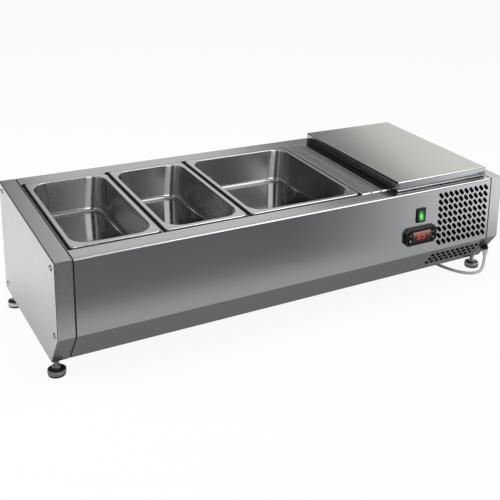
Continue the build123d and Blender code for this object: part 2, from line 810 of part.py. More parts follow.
# Fan shroud behind the condenser, with posts and a ring that hold the motor
shroud_plane = Plane(origin=(machine_x, shroud_y, machine_z), x_dir=(1, 0, 0), z_dir=(0, 1, 0))
mouth = fan_radius + 4
ring_back = motor_back - 10
shroud = extrude(Rectangle(condenser_width, condenser_height) - Circle(mouth), sheet)
shroud += extrude(Circle(mouth + sheet) - Circle(mouth), shroud_ring)
post_reach = condenser_height / 2 - 12
for spot in GridLocations(2 * post_reach, 2 * post_reach, 2, 2):
    shroud += spot * extrude(Rectangle(6, 6), ring_back)
bracket = Rectangle(bracket_width, 2 * post_reach + 6) - Circle(motor_radius + slip)
bracket += Rectangle(2 * motor_radius + 12, 2 * motor_radius + 12) - Circle(motor_radius + slip)
for side in (-1, 1):
    bracket += Pos(0, side * post_reach) * Rectangle(2 * post_reach + 6, 6)
shroud += extrude(Pos(0, 0, ring_back - 2) * bracket, 2)
parts["fan_shroud"] = shroud_plane * shroud
motor = extrude(Pos(0, 0, motor_front) * Circle(motor_radius), motor_length)
motor += extrude(Pos(0, 0, motor_front - fan_standoff - 6) * Circle(shaft_radius), fan_standoff + 7)
parts["fan_motor"] = shroud_plane * motor

# Fan: hub and pitched blades
fan = extrude(Pos(0, 0, fan_gap) * Circle(hub_radius), fan_thickness)
blade_outline = make_face(
    Polyline((hub_radius - 6, -11), (fan_radius * 0.7, -21), (fan_radius * 0.94, -15), (fan_radius * 0.97, 4),
             (fan_radius * 0.8, 20), (hub_radius - 6, 11), close=True)
)
blade = extrude(blade_outline, 1.5)
for number in range(fan_blades):
    turn = Rot(0, 0, 360 / fan_blades * number) * Pos(0, 0, fan_gap + fan_thickness / 2) * Rot(24, 0, 0)
    fan += turn * blade
fan -= extrude(Pos(0, 0, fan_gap + fan_thickness - 7) * Circle(shaft_radius + slip), 40)
parts["fan_blade"] = shroud_plane * fan

# Refrigerant lines and filter drier; the capillary runs between the motor's bracket and the compressor
line_x = length / 2 - line_room
parts["discharge_line"] = pipe(
    [
        (compressor_x + compressor_radius + stub_reach, compressor_y, stub_z),
        (line_x, compressor_y, stub_z),
        (line_x, condenser_y, stub_z),
        (turn_right, condenser_y, stub_z),
    ],
    line_radius,
    pipe_bend,
)
lane_y = (shroud_y + ring_back + compressor_y - compressor_radius) / 2
drier_front = lane_y - drier_lead - drier_length
parts["liquid_line"] = pipe(
    [
        (turn_right, condenser_y, tube_zs[0]),
        (line_x, condenser_y, tube_zs[0]),
        (line_x, drier_front, tube_zs[0]),
    ],
    line_radius,
    pipe_bend,
)
drier_neck = line_radius + 1
drier_profile = Polyline(
    (0, 0), (drier_neck, 0), (drier_radius, drier_taper), (drier_radius, drier_length - drier_taper),
    (drier_neck, drier_length), (0, drier_length), close=True
)
drier = revolve(Plane.XZ * make_face(drier_profile), Axis.Z)
parts["filter_drier"] = Plane(origin=(line_x, drier_front, tube_zs[0]), z_dir=(0, 1, 0)) * drier
riser_x = coil_end + riser_gap
parts["capillary_line"] = pipe(
    [
        (line_x, drier_front + drier_length, tube_zs[0]),
        (line_x, lane_y, tube_zs[0]),
        (riser_x, lane_y, tube_zs[0]),
        (riser_x, lane_y, inlet_z),
        (riser_x, inlet_y, inlet_z),
        (coil_end, inlet_y, inlet_z),
    ],
    capillary_radius,
    capillary_bend,
)
parts["suction_line"] = pipe(
    [
        (coil_end, outlet_y, outlet_z),
        (riser_x, outlet_y, outlet_z),
        (riser_x, outlet_y, suction_z),
        (compressor_x - compressor_radius, outlet_y, suction_z),
    ],
    tube_radius,
    pipe_bend / 2,
)

# Terminal box on the right end frame, and the probe on the tub's right wall
box_x = length / 2 - 2 * sheet - box_width / 2
box_place = Pos(box_x, shroud_y - box_depth / 2, machine_z + box_rise)
terminal = box_place * Box(box_width, box_depth, box_height)
parts["terminal_box"] = chamfer(terminal.faces().sort_by(Axis.X)[0].edges(), box_ease)
probe_x = well_right - ledge - probe_radius
probe = rod((probe_x, well_y - probe_length / 2, -probe_drop), (0, 1, 0), probe_radius, probe_length)
probe += Pos(probe_x, well_y, -probe_drop) * Box(2 * probe_radius, clip_length, clip_height)
parts["temperature_probe"] = deck_place * probe

# Cord gland: flange on the slanted face, elbow, tapered sleeve that points down, and a nut inside
gland = extrude(RegularPolygon(gland_flange, 6), gland_thickness)
gland += extrude(RegularPolygon(gland_bore, 12), -(2 * sheet + gland_nut))
gland += extrude(Pos(0, 0, -2 * sheet) * RegularPolygon(gland_flange, 6), 2 - gland_nut)
gland = gland_seat * gland
elbow = (gland_seat * Pos(0, 0, gland_elbow)).position
sleeve_profile = Polyline(
    (0, gland_neck), (gland_neck, gland_neck), (gland_neck, -gland_neck), (gland_tip, -gland_sleeve),
    (0, -gland_sleeve), close=True
)
sleeve = revolve(Plane.XZ * make_face(sleeve_profile), Axis.Z)
parts["cord_gland"] = gland + Pos(elbow) * sleeve

# Put-away coil: spirals in on the table, climbs at the middle and spirals out again on top
loop_y = back_y + loop_behind
loop_turn = 2 * pi
spiral_rate = loop_step / loop_turn
inner_radius = loop_radius - loop_step * layer_turns / 2
middle = layer_turns * loop_turn
low_z = cord_radius + loop_lift


def loop_point(angle):
    radius = inner_radius + spiral_rate * abs(angle - middle)
    climb = min(max((angle - middle) / pi + 0.5, 0), 1)
    height = low_z + loop_step * climb * climb * (3 - 2 * climb)
    return Vector(loop_x + radius * cos(angle), loop_y + radius * sin(angle), height)


def loop_heading(angle):
    return (loop_point(angle + 0.01) - loop_point(angle - 0.01)).normalized()


# Two arcs that join two points and are tangent to a heading at each
def biarc(start, start_heading, end, end_heading):
    span = end - start
    lean = 2 * (1 - start_heading.dot(end_heading))
    both = span.dot(start_heading + end_heading)
    reach = ((both * both + lean * span.dot(span)) ** 0.5 - both) / lean
    first = start + start_heading * reach
    last = end - end_heading * reach
    joint = (first + last) / 2
    return [
        Edge.make_tangent_arc(start, start_heading, joint),
        Edge.make_tangent_arc(joint, (last - first).normalized(), end),
    ]


straight = 2 * cord_radius
loop_end = 2 * middle
loop_start = loop_point(0) - loop_heading(0) * straight
tail_end = loop_point(loop_end) + loop_heading(loop_end) * straight
loop_edges = [Edge.make_line(loop_start, loop_point(0))]
steps = 8 * layer_turns
for number in range(steps):
    here = loop_end * number / steps
    there = loop_end * (number + 1) / steps
    loop_edges += biarc(loop_point(here), loop_heading(here), loop_point(there), loop_heading(there))
loop_edges.append(Edge.make_line(loop_point(loop_end), tail_end))
loop_wire = Wire(loop_edges)
cord_section = RegularPolygon(cord_radius, cord_sides)
parts["cord_coil"] = sweep(Plane(origin=loop_start, z_dir=loop_heading(0)) * cord_section, loop_wire)

# Mains cord from the gland down to the table, under the case and out behind it to the coil
cord_points = [
    elbow - Vector(0, 0, gland_sleeve),
    elbow - Vector(0, 0, gland_sleeve + 12),
    Vector(499.5, -181.5, 15.5),
    Vector(490.5, -181.5, 7.5),
    Vector(477.5, -177.5, 4.0),
    Vector(463.5, -168.5, 3.5),
    Vector(451.0, -153.5, 3.5),
    Vector(442.0, -133.0, 3.5),
    Vector(436.0, -107.0, 3.5),
    Vector(431.5, -74.0, 3.5),
    Vector(429.0, -33.0, 3.5),
    Vector(431.0, 15.0, 3.5),
    Vector(436.0, 66.0, 3.5),
    Vector(438.0, 120.0, 3.5),
    Vector(432.0, 168.0, 3.5),
    Vector(421.0, 207.0, 4.0),
    loop_start - loop_heading(0) * 28,
    loop_start,
]
cord_bends = []
for before, here, after in zip(cord_points, cord_points[1:], cord_points[2:]):
    half_turn = radians((here - before).get_angle(after - here)) / 2
    run = min((here - before).length, (after - here).length)
    cord_bends.append(0.45 * run / tan(half_turn))
cord_line = FilletPolyline(*cord_points, radius=cord_bends)
cord_start = Plane(origin=cord_line @ 0, z_dir=cord_line % 0)
parts["power_cord"] = sweep(cord_start * cord_section, cord_line)
print("cord bends", [round(bend_radius, 1) for bend_radius in cord_bends])
print("cord length", round(cord_line.length + loop_wire.length, 1))
for name, run in (("power_cord", cord_line), ("cord_coil", loop_wire)):
    print(name, "volume over section times length", parts[name].volume / (cord_section.area * run.length))

# The coil's least distance from itself, on points a fixed step apart
spots = [loop_point(loop_end * number / 1440) for number in range(1441)]
gaps = [
    (spots[number] - spots[other]).length
    for number in range(0, 1441, 4)
    for other in range(number + 60, 1441, 2)
]
print("coil self gap", round(min(gaps) - 2 * cord_radius, 2))

# Tie round all the turns on the side away from the climb
tie_inner = inner_radius + loop_step / 2 - cord_radius - tie_room
tie_outer = inner_radius + loop_step * (layer_turns - 0.5) + cord_radius + tie_room
tie_low = loop_lift - fit
tie_high = low_z + loop_step + cord_radius + fit
tie = block(-tie_outer - tie_wall, tie_wall - tie_inner, -tie_width / 2, tie_width / 2,
            tie_low - tie_wall, tie_high + tie_wall)
tie = fillet(tie.edges().filter_by(Axis.Y), cord_radius)
tie_hole = block(-tie_outer, -tie_inner, -tie_width, tie_width, tie_low, tie_high)
tie -= fillet(tie_hole.edges().filter_by(Axis.Y), cord_radius - tie_wall)
parts["coil_tie"] = Pos(loop_x, loop_y) * tie

# Plug: tapered strain relief, moulded body and two round pins
plug_plane = Plane(origin=tail_end, x_dir=(1, 0, 0), z_dir=loop_heading(loop_end))
plug = extrude(Circle(cord_radius + fit), relief_length, taper=-4)
plug_face = chamfer(Rectangle(plug_width, plug_height).vertices(), 7)
body = extrude(Pos(0, 0, relief_length) * plug_face, plug_length)
plug += chamfer(body.faces().sort_by(Axis.Z)[0].edges(), 4)
face_z = relief_length + plug_length
for side in (-1, 1):
    plug += extrude(Pos(side * pin_spacing / 2, 0, face_z) * RegularPolygon(pin_radius, 8), pin_length)
parts["power_plug"] = plug_plane * plug

os.makedirs("parts", exist_ok=True)
for name, piece in parts.items():
    export_step(piece, f"parts/{name}.step")
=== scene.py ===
import math
import bmesh
import bpy
from mathutils import Matrix, Vector


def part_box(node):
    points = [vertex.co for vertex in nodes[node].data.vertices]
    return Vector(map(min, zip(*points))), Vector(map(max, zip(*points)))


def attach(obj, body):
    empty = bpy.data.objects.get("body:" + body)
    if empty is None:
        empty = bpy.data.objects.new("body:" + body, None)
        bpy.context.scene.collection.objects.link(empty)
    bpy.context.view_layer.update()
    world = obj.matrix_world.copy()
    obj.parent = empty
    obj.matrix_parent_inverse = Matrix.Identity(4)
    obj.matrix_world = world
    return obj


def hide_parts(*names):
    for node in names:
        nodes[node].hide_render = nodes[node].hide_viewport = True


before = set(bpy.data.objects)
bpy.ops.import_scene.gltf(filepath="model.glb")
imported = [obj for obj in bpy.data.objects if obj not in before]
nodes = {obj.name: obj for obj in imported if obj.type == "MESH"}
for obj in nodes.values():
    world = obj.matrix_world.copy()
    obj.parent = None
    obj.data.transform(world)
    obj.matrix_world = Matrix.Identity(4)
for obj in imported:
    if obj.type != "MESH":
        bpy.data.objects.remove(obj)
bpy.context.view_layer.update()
print("frame loaded", len(nodes), "nodes")

# the sheet-metal case, in metres; the deck slopes down towards the front
case = {
    "frontY": -0.1975, "frontZ": 0.244, "foldZ": 0.099, "baseZ": 0.032, "chamferBack": 0.051,
    "deckAngle": 4.0, "deckMid": 0.202494,
}
deckCos = math.cos(math.radians(case["deckAngle"]))
deckSin = math.sin(math.radians(case["deckAngle"]))


def deckPoint(x, along, above):
    y = case["frontY"] + along * deckCos - above * deckSin
    z = case["frontZ"] + along * deckSin + above * deckCos
    return Vector((x, y, z))


def addObject(name, data):
    made = bpy.data.objects.new(name, data)
    bpy.context.scene.collection.objects.link(made)
    return made


# the camera at the photo's place
camData = bpy.data.cameras.new("photoCamera")
camData.sensor_width = 36
camData.lens = 58.3413
camData.shift_x = -0.03353
camData.shift_y = -0.25004
camData.clip_end = 60
cam = addObject("photoCamera", camData)
camRight = Vector((0.86661720, -0.49876620, 0.01438451))
camUp = Vector((0.11020220, 0.21943591, 0.96938298))
camBack = Vector((-0.48665194, -0.83849875, 0.24513207))
camTurn = Matrix((camRight, camUp, camBack)).transposed().to_4x4()
cam.matrix_world = Matrix.Translation((-0.84622, -1.46735, 0.80915)) @ camTurn
bpy.context.scene.camera = cam
print("camera set")


# a socket in a node tree; arithmetic on it adds Math nodes
class Link:
    def __init__(self, graph, socket):
        self.graph = graph
        self.socket = socket

    def calc(self, operation, a, b=None):
        values = {0: a} if b is None else {0: a, 1: b}
        return self.graph.node("ShaderNodeMath", {"operation": operation}, values)

    def __add__(self, other):
        return self.calc("ADD", self, other)

    def __radd__(self, other):
        return self.calc("ADD", other, self)

    def __sub__(self, other):
        return self.calc("SUBTRACT", self, other)

    def __rsub__(self, other):
        return self.calc("SUBTRACT", other, self)

    def __mul__(self, other):
        return self.calc("MULTIPLY", self, other)

    def __truediv__(self, other):
        return self.calc("DIVIDE", self, other)

    def clamp(self):
        return self.graph.node("ShaderNodeClamp", {}, {0: self})

    def highest(self, other):
        return self.calc("MAXIMUM", self, other)


# a node tree with one method that adds any node
class Graph:
    def __init__(self, tree):
        self.tree = tree

    def node(self, kind, settings, values, out=0):
        made = self.tree.nodes.new(kind)
        for key, value in settings.items():
            if key == "stops":
                for element, (position, colour) in zip(made.color_ramp.elements, value):
                    element.position = position
                    element.color = colour
            else:
                setattr(made, key, value)
        for key, value in values.items():
            several = value if isinstance(value, list) else [value]
            for one in several:
                if isinstance(one, Link):
                    self.tree.links.new(one.socket, made.inputs[key])
                else:
                    made.inputs[key].default_value = one
        return Link(self, made.outputs[out])

    # a geometry node; a low line in an input's name stands for a space
    def geo(self, kind, settings=None, **values):
        named = {key.replace("_", " "): value for key, value in values.items()}
        return self.node("GeometryNode" + kind, settings or {}, named)

    def vector(self, x=0, y=0, z=0):
        return self.node("ShaderNodeCombineXYZ", {}, {0: x, 1: y, 2: z})


# a material whose look is worked out on Object coordinates
class Finish(Graph):
    def __init__(self, name, **fixed):
        self.mat = bpy.data.materials.new(name)
        self.mat.use_nodes = True
        super().__init__(self.mat.node_tree)
        self.shader = self.tree.nodes["Principled BSDF"]
        self.spot = self.node("ShaderNodeTexCoord", {}, {}, "Object")
        for key, value in fixed.items():
            self.shader.inputs[key.replace("_", " ")].default_value = value

    def feed(self, **links):
        for key, value in links.items():
            self.tree.links.new(value.socket, self.shader.inputs[key.replace("_", " ")])

    def stretched(self, scale):
        return self.node("ShaderNodeMapping", {}, {"Vector": self.spot, "Scale": scale})

    def noise(self, vector, scale, detail=2.0, rough=0.5):
        values = {"Vector": vector, "Scale": scale, "Detail": detail, "Roughness": rough}
        return self.node("ShaderNodeTexNoise", {}, values)

    def blend(self, amount, low, high):
        stops = [(0.0, (*low, 1)), (1.0, (*high, 1))]
        return self.node("ShaderNodeValToRGB", {"stops": stops}, {0: amount})

    def mixed(self, amount, first, second):
        return self.node("ShaderNodeMix", {"data_type": "RGBA"}, {0: amount, 6: first, 7: second}, 2)

    def bump(self, height, strength, distance):
        values = {"Height": height, "Strength": strength, "Distance": distance}
        return self.node("ShaderNodeBump", {}, values)

    def measure(self, operation, other, out="Value"):
        return self.node("ShaderNodeVectorMath", {"operation": operation}, {0: self.spot, 1: other}, out)


# a darker and a lighter shade of a tone
def shades(tone, low, high):
    return [c * low for c in tone], [min(1.0, c * high) for c in tone]


# sheet steel: hair-fine drawn lines along one axis and faint handling marks that change the gloss
def drawnSteel(name, tone, along, rough, contrast=0.02, smudge=0.02):
    mat = Finish(name, Metallic=1.0)
    squeeze = [1400.0, 1400.0, 1400.0]
    squeeze[along] = 9.0
    fine = mat.noise(mat.stretched(tuple(squeeze)), 1.0)
    hands = mat.noise(mat.spot, 7.0, detail=4.0, rough=0.55)
    mix = (0.5 + (fine - 0.5) * contrast * 8 + (hands - 0.5) * smudge * 8).clamp()
    mat.feed(Base_Color=mat.blend(mix, *shades(tone, 0.9, 1.1)))
    mat.feed(Roughness=(rough + (fine - 0.5) * 0.03 + (hands - 0.5) * 0.05).clamp())
    mat.feed(Normal=mat.bump(fine, strength=0.1, distance=0.00002))
    return mat.mat


# moulded plastic, rubber and paint: fine grain and a slight change of tone and gloss
def moulded(name, tone, rough, grain=2200.0, depth=0.10, metal=0.0, cloud=0.12, shine=0.5):
    mat = Finish(name, Metallic=metal, Specular_IOR_Level=shine)
    speck = mat.noise(mat.spot, grain)
    broad = mat.noise(mat.spot, 30.0, detail=3.0)
    mix = (broad + (speck - 0.5) * 0.5).clamp()
    mat.feed(Base_Color=mat.blend(mix, *shades(tone, 1 - cloud, 1 + cloud)))
    mat.feed(Roughness=(rough + (broad - 0.5) * 0.12 + (speck - 0.5) * 0.06).clamp())
    mat.feed(Normal=mat.bump(speck, depth, distance=0.0002))
    return mat.mat


# painted shade on the ledge: a black band, not a real seal, that darkens the gap round the pans; where it starts below
# the deck, and how far it fades in
ledgeShade = {"below": 0.011, "fade": 0.003, "tone": (0.012, 0.012, 0.013, 1)}


# polished steel: nearly a mirror, with upright drawing marks and a little haze
def polished(name, tone, rough, shadeStrip=None):
    mat = Finish(name, Metallic=1.0)
    marks = mat.noise(mat.stretched((420.0, 420.0, 9.0)), 1.0)
    haze = mat.noise(mat.spot, 12.0, detail=4.0)
    colour = mat.blend((haze * 0.7 + marks * 0.3).clamp(), *shades(tone, 0.94, 1.05))
    # painted shade: below the ledge line the tub turns black and loses its metal
    if shadeStrip:
        across = mat.measure("DOT_PRODUCT", (0, -deckSin, deckCos))
        level = across - (case["frontZ"] * deckCos - case["frontY"] * deckSin)
        shaded = ((level + shadeStrip["below"]) / shadeStrip["fade"]).clamp()
        colour = mat.mixed(shaded, colour, shadeStrip["tone"])
        mat.feed(Metallic=1 - shaded)
    mat.feed(Base_Color=colour)
    mat.feed(Roughness=(rough + (haze - 0.5) * 0.06 + (marks - 0.5) * 0.04).clamp())
    mat.feed(Normal=mat.bump(haze, strength=0.05, distance=0.0002))
    return mat.mat


# pan walls: fine lines round the pan spread a reflection upwards and downwards
def drawnWall(name, tone, rough):
    mat = Finish(name, Metallic=1.0, Anisotropic=0.95, Anisotropic_Rotation=0.25)
    haze = mat.noise(mat.spot, 9.0, detail=3.0)
    lines = mat.noise(mat.stretched((5.0, 5.0, 700.0)), 1.0)
    mat.feed(Base_Color=mat.blend((haze * 0.6 + lines * 0.4).clamp(), *shades(tone, 0.95, 1.05)))
    mat.feed(Roughness=(rough + (haze - 0.5) * 0.04).clamp())
    return mat.mat


# a lit lens: brightest in front of the lamp behind it, with fine upright ribs
def litLens(name, tone, glow, centre, reach, strength):
    mat = Finish(name, Emission_Strength=strength)
    apart = mat.measure("SUBTRACT", centre, "Vector")
    shares = tuple(1 / r for r in reach)
    scaled = mat.node("ShaderNodeVectorMath", {"operation": "MULTIPLY"}, {0: apart, 1: shares}, "Vector")
    far = mat.node("ShaderNodeVectorMath", {"operation": "LENGTH"}, {0: scaled}, "Value")
    near = (1 - far).clamp()
    ribs = mat.noise(mat.stretched((900.0, 40.0, 40.0)), 1.0, detail=1.0)
    level = (near * near * (0.7 + ribs * 0.6)).clamp()
    mat.feed(Base_Color=mat.blend(near, *shades(tone, 0.3, 1)))
    mat.feed(Emission_Color=mat.blend(level, *shades(glow, 0.01, 1)))
    mat.feed(Roughness=(0.18 + ribs * 0.15).clamp())
    return mat.mat


alongX, alongY, alongZ = 0, 1, 2
frontSteel = drawnSteel("frontSteel", (0.575, 0.58, 0.60), alongX, 0.22)
capSteel = drawnSteel("capSteel", (0.59, 0.595, 0.60), alongZ, 0.28)
deckSteel = drawnSteel("deckSteel", (0.60, 0.60, 0.59), alongX, 0.17)
coverSteel = drawnSteel("coverSteel", (0.60, 0.60, 0.57), alongY, 0.15)
# the cover's skirt: its own sheet drawn across, with a darker, bluer tone that is painted shade
skirtSteel = drawnSteel("skirtSteel", (0.49, 0.505, 0.53), alongX, 0.18)
barSteel = drawnSteel("barSteel", (0.78, 0.78, 0.76), alongY, 0.11, contrast=0.05)
plainSteel = drawnSteel("plainSteel", (0.50, 0.50, 0.51), alongX, 0.40)
# zinc sheet inside the case: a dull grey, darkened well past its own tone as painted shade
zincSheet = drawnSteel("zincSheet", (0.17, 0.17, 0.18), alongX, 0.50)
panSteel = polished("panSteel", (0.62, 0.62, 0.615), 0.15)
# the pans' floor and walls are the rim's steel, given darker tones as painted shade inside the pans
panFloor = polished("panFloor", (0.32, 0.318, 0.316), 0.08)
panWall = drawnWall("panWall", (0.42, 0.42, 0.42), 0.27)
tubSteel = polished("tubSteel", (0.45, 0.45, 0.46), 0.22, ledgeShade)
brightSteel = polished("brightSteel", (0.70, 0.70, 0.71), 0.16)
seamShade = moulded("seamShade", (0.012, 0.012, 0.013), 0.65)
# painted shade on the walls of the slots and holes: near black, though cut steel is bright
cutEdge = moulded("cutEdge", (0.010, 0.010, 0.011), 0.55)
blackRubber = moulded("blackRubber", (0.014, 0.014, 0.015), 0.58)
blackPlastic = moulded("blackPlastic", (0.0045, 0.0045, 0.005), 0.14, grain=1600.0, depth=0.02, shine=0.22)
innerPlastic = moulded("innerPlastic", (0.05, 0.05, 0.055), 0.50)
blackPaint = moulded("blackPaint", (0.03, 0.03, 0.032), 0.40, grain=500.0, depth=0.15)
foamYellow = moulded("foamYellow", (0.72, 0.62, 0.36), 0.85, grain=400.0, depth=0.4)
copperTube = moulded("copperTube", (0.72, 0.40, 0.26), 0.28, grain=600.0, depth=0.05, metal=1.0)
# condenser fins, near black as painted shade inside the case behind the vent slots
finCoat = moulded("finCoat", (0.030, 0.030, 0.033), 0.45, grain=800.0, depth=0.05)
cordVinyl = moulded("cordVinyl", (0.86, 0.86, 0.85), 0.42, grain=900.0, depth=0.06, cloud=0.05)
markPale = moulded("markPale", (0.55, 0.55, 0.55), 0.45, grain=1600.0, depth=0.03)
print("materials made")


def soften(mesh, sharpAngle):
    mesh.shade_smooth()
    mesh.set_sharp_from_angle(angle=math.radians(sharpAngle))


def addPiece(name, verts, faces, material, sharpAngle=32.0):
    mesh = bpy.data.meshes.new(name)
    mesh.from_pydata([tuple(v) for v in verts], [], faces)
    mesh.validate()
    soften(mesh, sharpAngle)
    mesh.materials.append(material)
    return addObject(name, mesh)


# rings of equal length joined into a skin; each end may be closed
def loft(rings, startClosed=True, endClosed=True):
    count = len(rings[0])
    verts = [v for ring in rings for v in ring]
    faces = []
    for number in range(len(rings) - 1):
        low = number * count
        high = low + count
        for i in range(count):
            j = (i + 1) % count
            faces.append((low + i, low + j, high + j, high + i))
    if startClosed:
        faces.append(tuple(reversed(range(count))))
    if endClosed:
        faces.append(tuple(range((len(rings) - 1) * count, len(rings) * count)))
    return verts, faces


def together(*shapes):
    verts, faces = [], []
    for shapeVerts, shapeFaces in shapes:
        base = len(verts)
        verts += shapeVerts
        faces += [tuple(base + i for i in face) for face in shapeFaces]
    return verts, faces


def circle(x, y, radius, steps):
    angles = [2 * math.pi * number / steps for number in range(steps)]
    return [(x + radius * math.cos(a), y + radius * math.sin(a)) for a in angles]


# a turned shape: pairs of radius and height round an upright axis
def turned(x, y, profile, steps=40):
    return loft([[Vector((*point, z)) for point in circle(x, y, radius, steps)] for radius, z in profile])


# a ring with rounded corners, level with the deck
def roundedRing(x, along, halfX, halfY, corner, above, steps):
    ring = []
    for number, (signX, signY) in enumerate(((1, 1), (-1, 1), (-1, -1), (1, -1))):
        for step in range(steps + 1):
            angle = math.pi / 2 * (number + step / steps)
            ring.append(deckPoint(
                x + signX * (halfX - corner) + corner * math.cos(angle),
                along + signY * (halfY - corner) + corner * math.sin(angle),
                above,
            ))
    return ring


def openTree(name, **inputs):
    tree = bpy.data.node_groups.new(name, "GeometryNodeTree")
    tree.interface.new_socket("Start", in_out="INPUT", socket_type="NodeSocketGeometry")
    for label, kind in inputs.items():
        tree.interface.new_socket(label, in_out="INPUT", socket_type="NodeSocket" + kind)
    tree.interface.new_socket("Result", in_out="OUTPUT", socket_type="NodeSocketGeometry")
    g = Graph(tree)
    source = tree.nodes.new("NodeGroupInput")
    given = {s.name: Link(g, s) for s in source.outputs if s.name}
    return g, given


def moved(g, geometry, **how):
    return g.geo("Transform", Geometry=geometry, **how)


def coated(g, geometry, material):
    return g.geo("SetMaterial", Geometry=geometry, Material=material)


def cutAway(g, whole, tools):
    return g.geo("MeshBoolean", {"operation": "DIFFERENCE", "solver": "EXACT"}, Mesh_1=whole, Mesh_2=tools)


# minus one or one for the side that a point lies on
def sideOf(g):
    spotX = g.node("ShaderNodeSeparateXYZ", {}, {0: g.geo("InputPosition")}, 0)
    return g.node("ShaderNodeMath", {"operation": "SIGN"}, {0: spotX})


def closeTree(g, result, material=None):
    whole = g.geo("RealizeInstances", Geometry=result)
    if material:
        whole = coated(g, whole, material)
    sink = g.tree.nodes.new("NodeGroupOutput")
    g.tree.links.new(whole.socket, sink.inputs[0])
    return g.tree


# a tree's named inputs, set by identifier before the object is first evaluated
def runTree(piece, tree, **values):
    modifier = piece.modifiers.new(tree.name, "NODES")
    modifier.node_group = tree
    for item in tree.interface.items_tree:
        if item.in_out == "INPUT" and item.name in values:
            modifier[item.identifier] = values[item.name]
    return modifier


# the evaluated result kept as a plain mesh
def settle(piece, sharpAngle=32.0):
    view = bpy.context.evaluated_depsgraph_get()
    mesh = bpy.data.meshes.new_from_object(piece.evaluated_get(view))
    mesh.name = piece.name
    old = piece.data
    piece.modifiers.clear()
    piece.data = mesh
    bpy.data.meshes.remove(old)
    soften(mesh, sharpAngle)
    return piece


def place(piece, body, slot, *replaced):
    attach(piece, body)
    if replaced:
        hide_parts(*replaced)


# mains cord: from the gland at the slanted face down to the table, under the case, coil behind it
cord = {
    "radius": 0.0035, "length": 1.499, "turnPoints": 24, "loopX": 0.365, "loopY": 0.2705,
    "innerRadius": 0.0308, "step": 0.0077, "lowZ": 0.0051, "layerTurns": 2,
    "leadIn": (0.035, 0.007), "leadOut": 0.007, "nudge": 0.01,
    "route": [
        (0.504, -0.18043, 0.04772), (0.504, -0.18043, 0.03572), (0.4995, -0.1815, 0.0155),
        (0.4905, -0.1815, 0.0075), (0.4775, -0.1775, 0.0040), (0.4635, -0.1685, 0.0035),
        (0.4510, -0.1535, 0.0035), (0.4420, -0.1330, 0.0035), (0.4360, -0.1070, 0.0035),
        (0.4315, -0.0740, 0.0035), (0.4290, -0.0330, 0.0035), (0.4310, 0.0150, 0.0035),
        (0.4360, 0.0660, 0.0035), (0.4380, 0.1200, 0.0035), (0.4320, 0.1680, 0.0035),
        (0.4210, 0.2070, 0.0040),
    ],
}


def clip(share):
    return min(max(share, 0.0), 1.0)


def smooth(share):
    share = clip(share)
    return share * share * (3 - 2 * share)


def loopPoint(angle):
    middle = cord["layerTurns"] * 2 * math.pi
    radius = cord["innerRadius"] + cord["step"] * abs(angle - middle) / (2 * math.pi)
    z = cord["lowZ"] + cord["step"] * smooth((angle - middle) / math.pi + 0.5)
    return Vector((cord["loopX"] + radius * math.cos(angle), cord["loopY"] + radius * math.sin(angle), z))


def makeCord():
    turns = 2 * cord["layerTurns"]
    last = turns * 2 * math.pi
    startWay = (loopPoint(cord["nudge"]) - loopPoint(0)).normalized()
    endWay = (loopPoint(last) - loopPoint(last - cord["nudge"])).normalized()
    points = [Vector(p) for p in cord["route"]]
    points += [loopPoint(0) - startWay * lead for lead in cord["leadIn"]]
    steps = cord["turnPoints"] * turns
    points += [loopPoint(last * number / steps) for number in range(steps + 1)]
    points.append(loopPoint(last) + endWay * cord["leadOut"])
    curve = bpy.data.curves.new("mainsCord", "CURVE")
    curve.dimensions = "3D"
    curve.bevel_depth = cord["radius"]
    curve.bevel_resolution = 5
    curve.use_fill_caps = True
    spline = curve.splines.new("NURBS")
    spline.points.add(len(points) - 1)
    for spot, point in zip(spline.points, points):
        spot.co = (*point, 1)
    spline.order_u = 3
    spline.use_endpoint_u = True
    spline.resolution_u = 6
    curve.materials.append(cordVinyl)
    return addObject("mainsCord", curve), points


mainsCord, cordPoints = makeCord()
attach(mainsCord, "case")
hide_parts("power_cord", "cord_coil")
print("cord laid", len(cordPoints), "points")


# food pans: drawn sheet with a turned-down rim and a soft edge into the mouth
pan = {
    "length": 0.325, "play": 0.0006, "rim": 0.0104, "lip": 0.0072, "depth": 0.0772, "wall": 0.0009, "draft": 3.0,
    "rimCorner": 0.011, "mouthCorner": 0.0335, "floorCorner": 0.036, "floorRadius": 0.010, "edgeRadius": 0.0022,
    "ledgeDrop": 0.005, "cornerSteps": 16, "guard": 0.0006, "rimRound": 0.0028, "rimSteps": 6, "edgeSteps": 5,
    "wallSteps": 5, "floorSteps": 8, "floorGuard": 0.002, "sink": 0.0001, "knee": 0.3,
    "shadeSteps": 2, "sheetSteps": 4, "sideSteps": 3,
    "places": {
        "pan_third_left": (-0.393, 0.176), "pan_third_right": (-0.2115, 0.176), "pan_half": (0.0145, 0.265),
    },
}


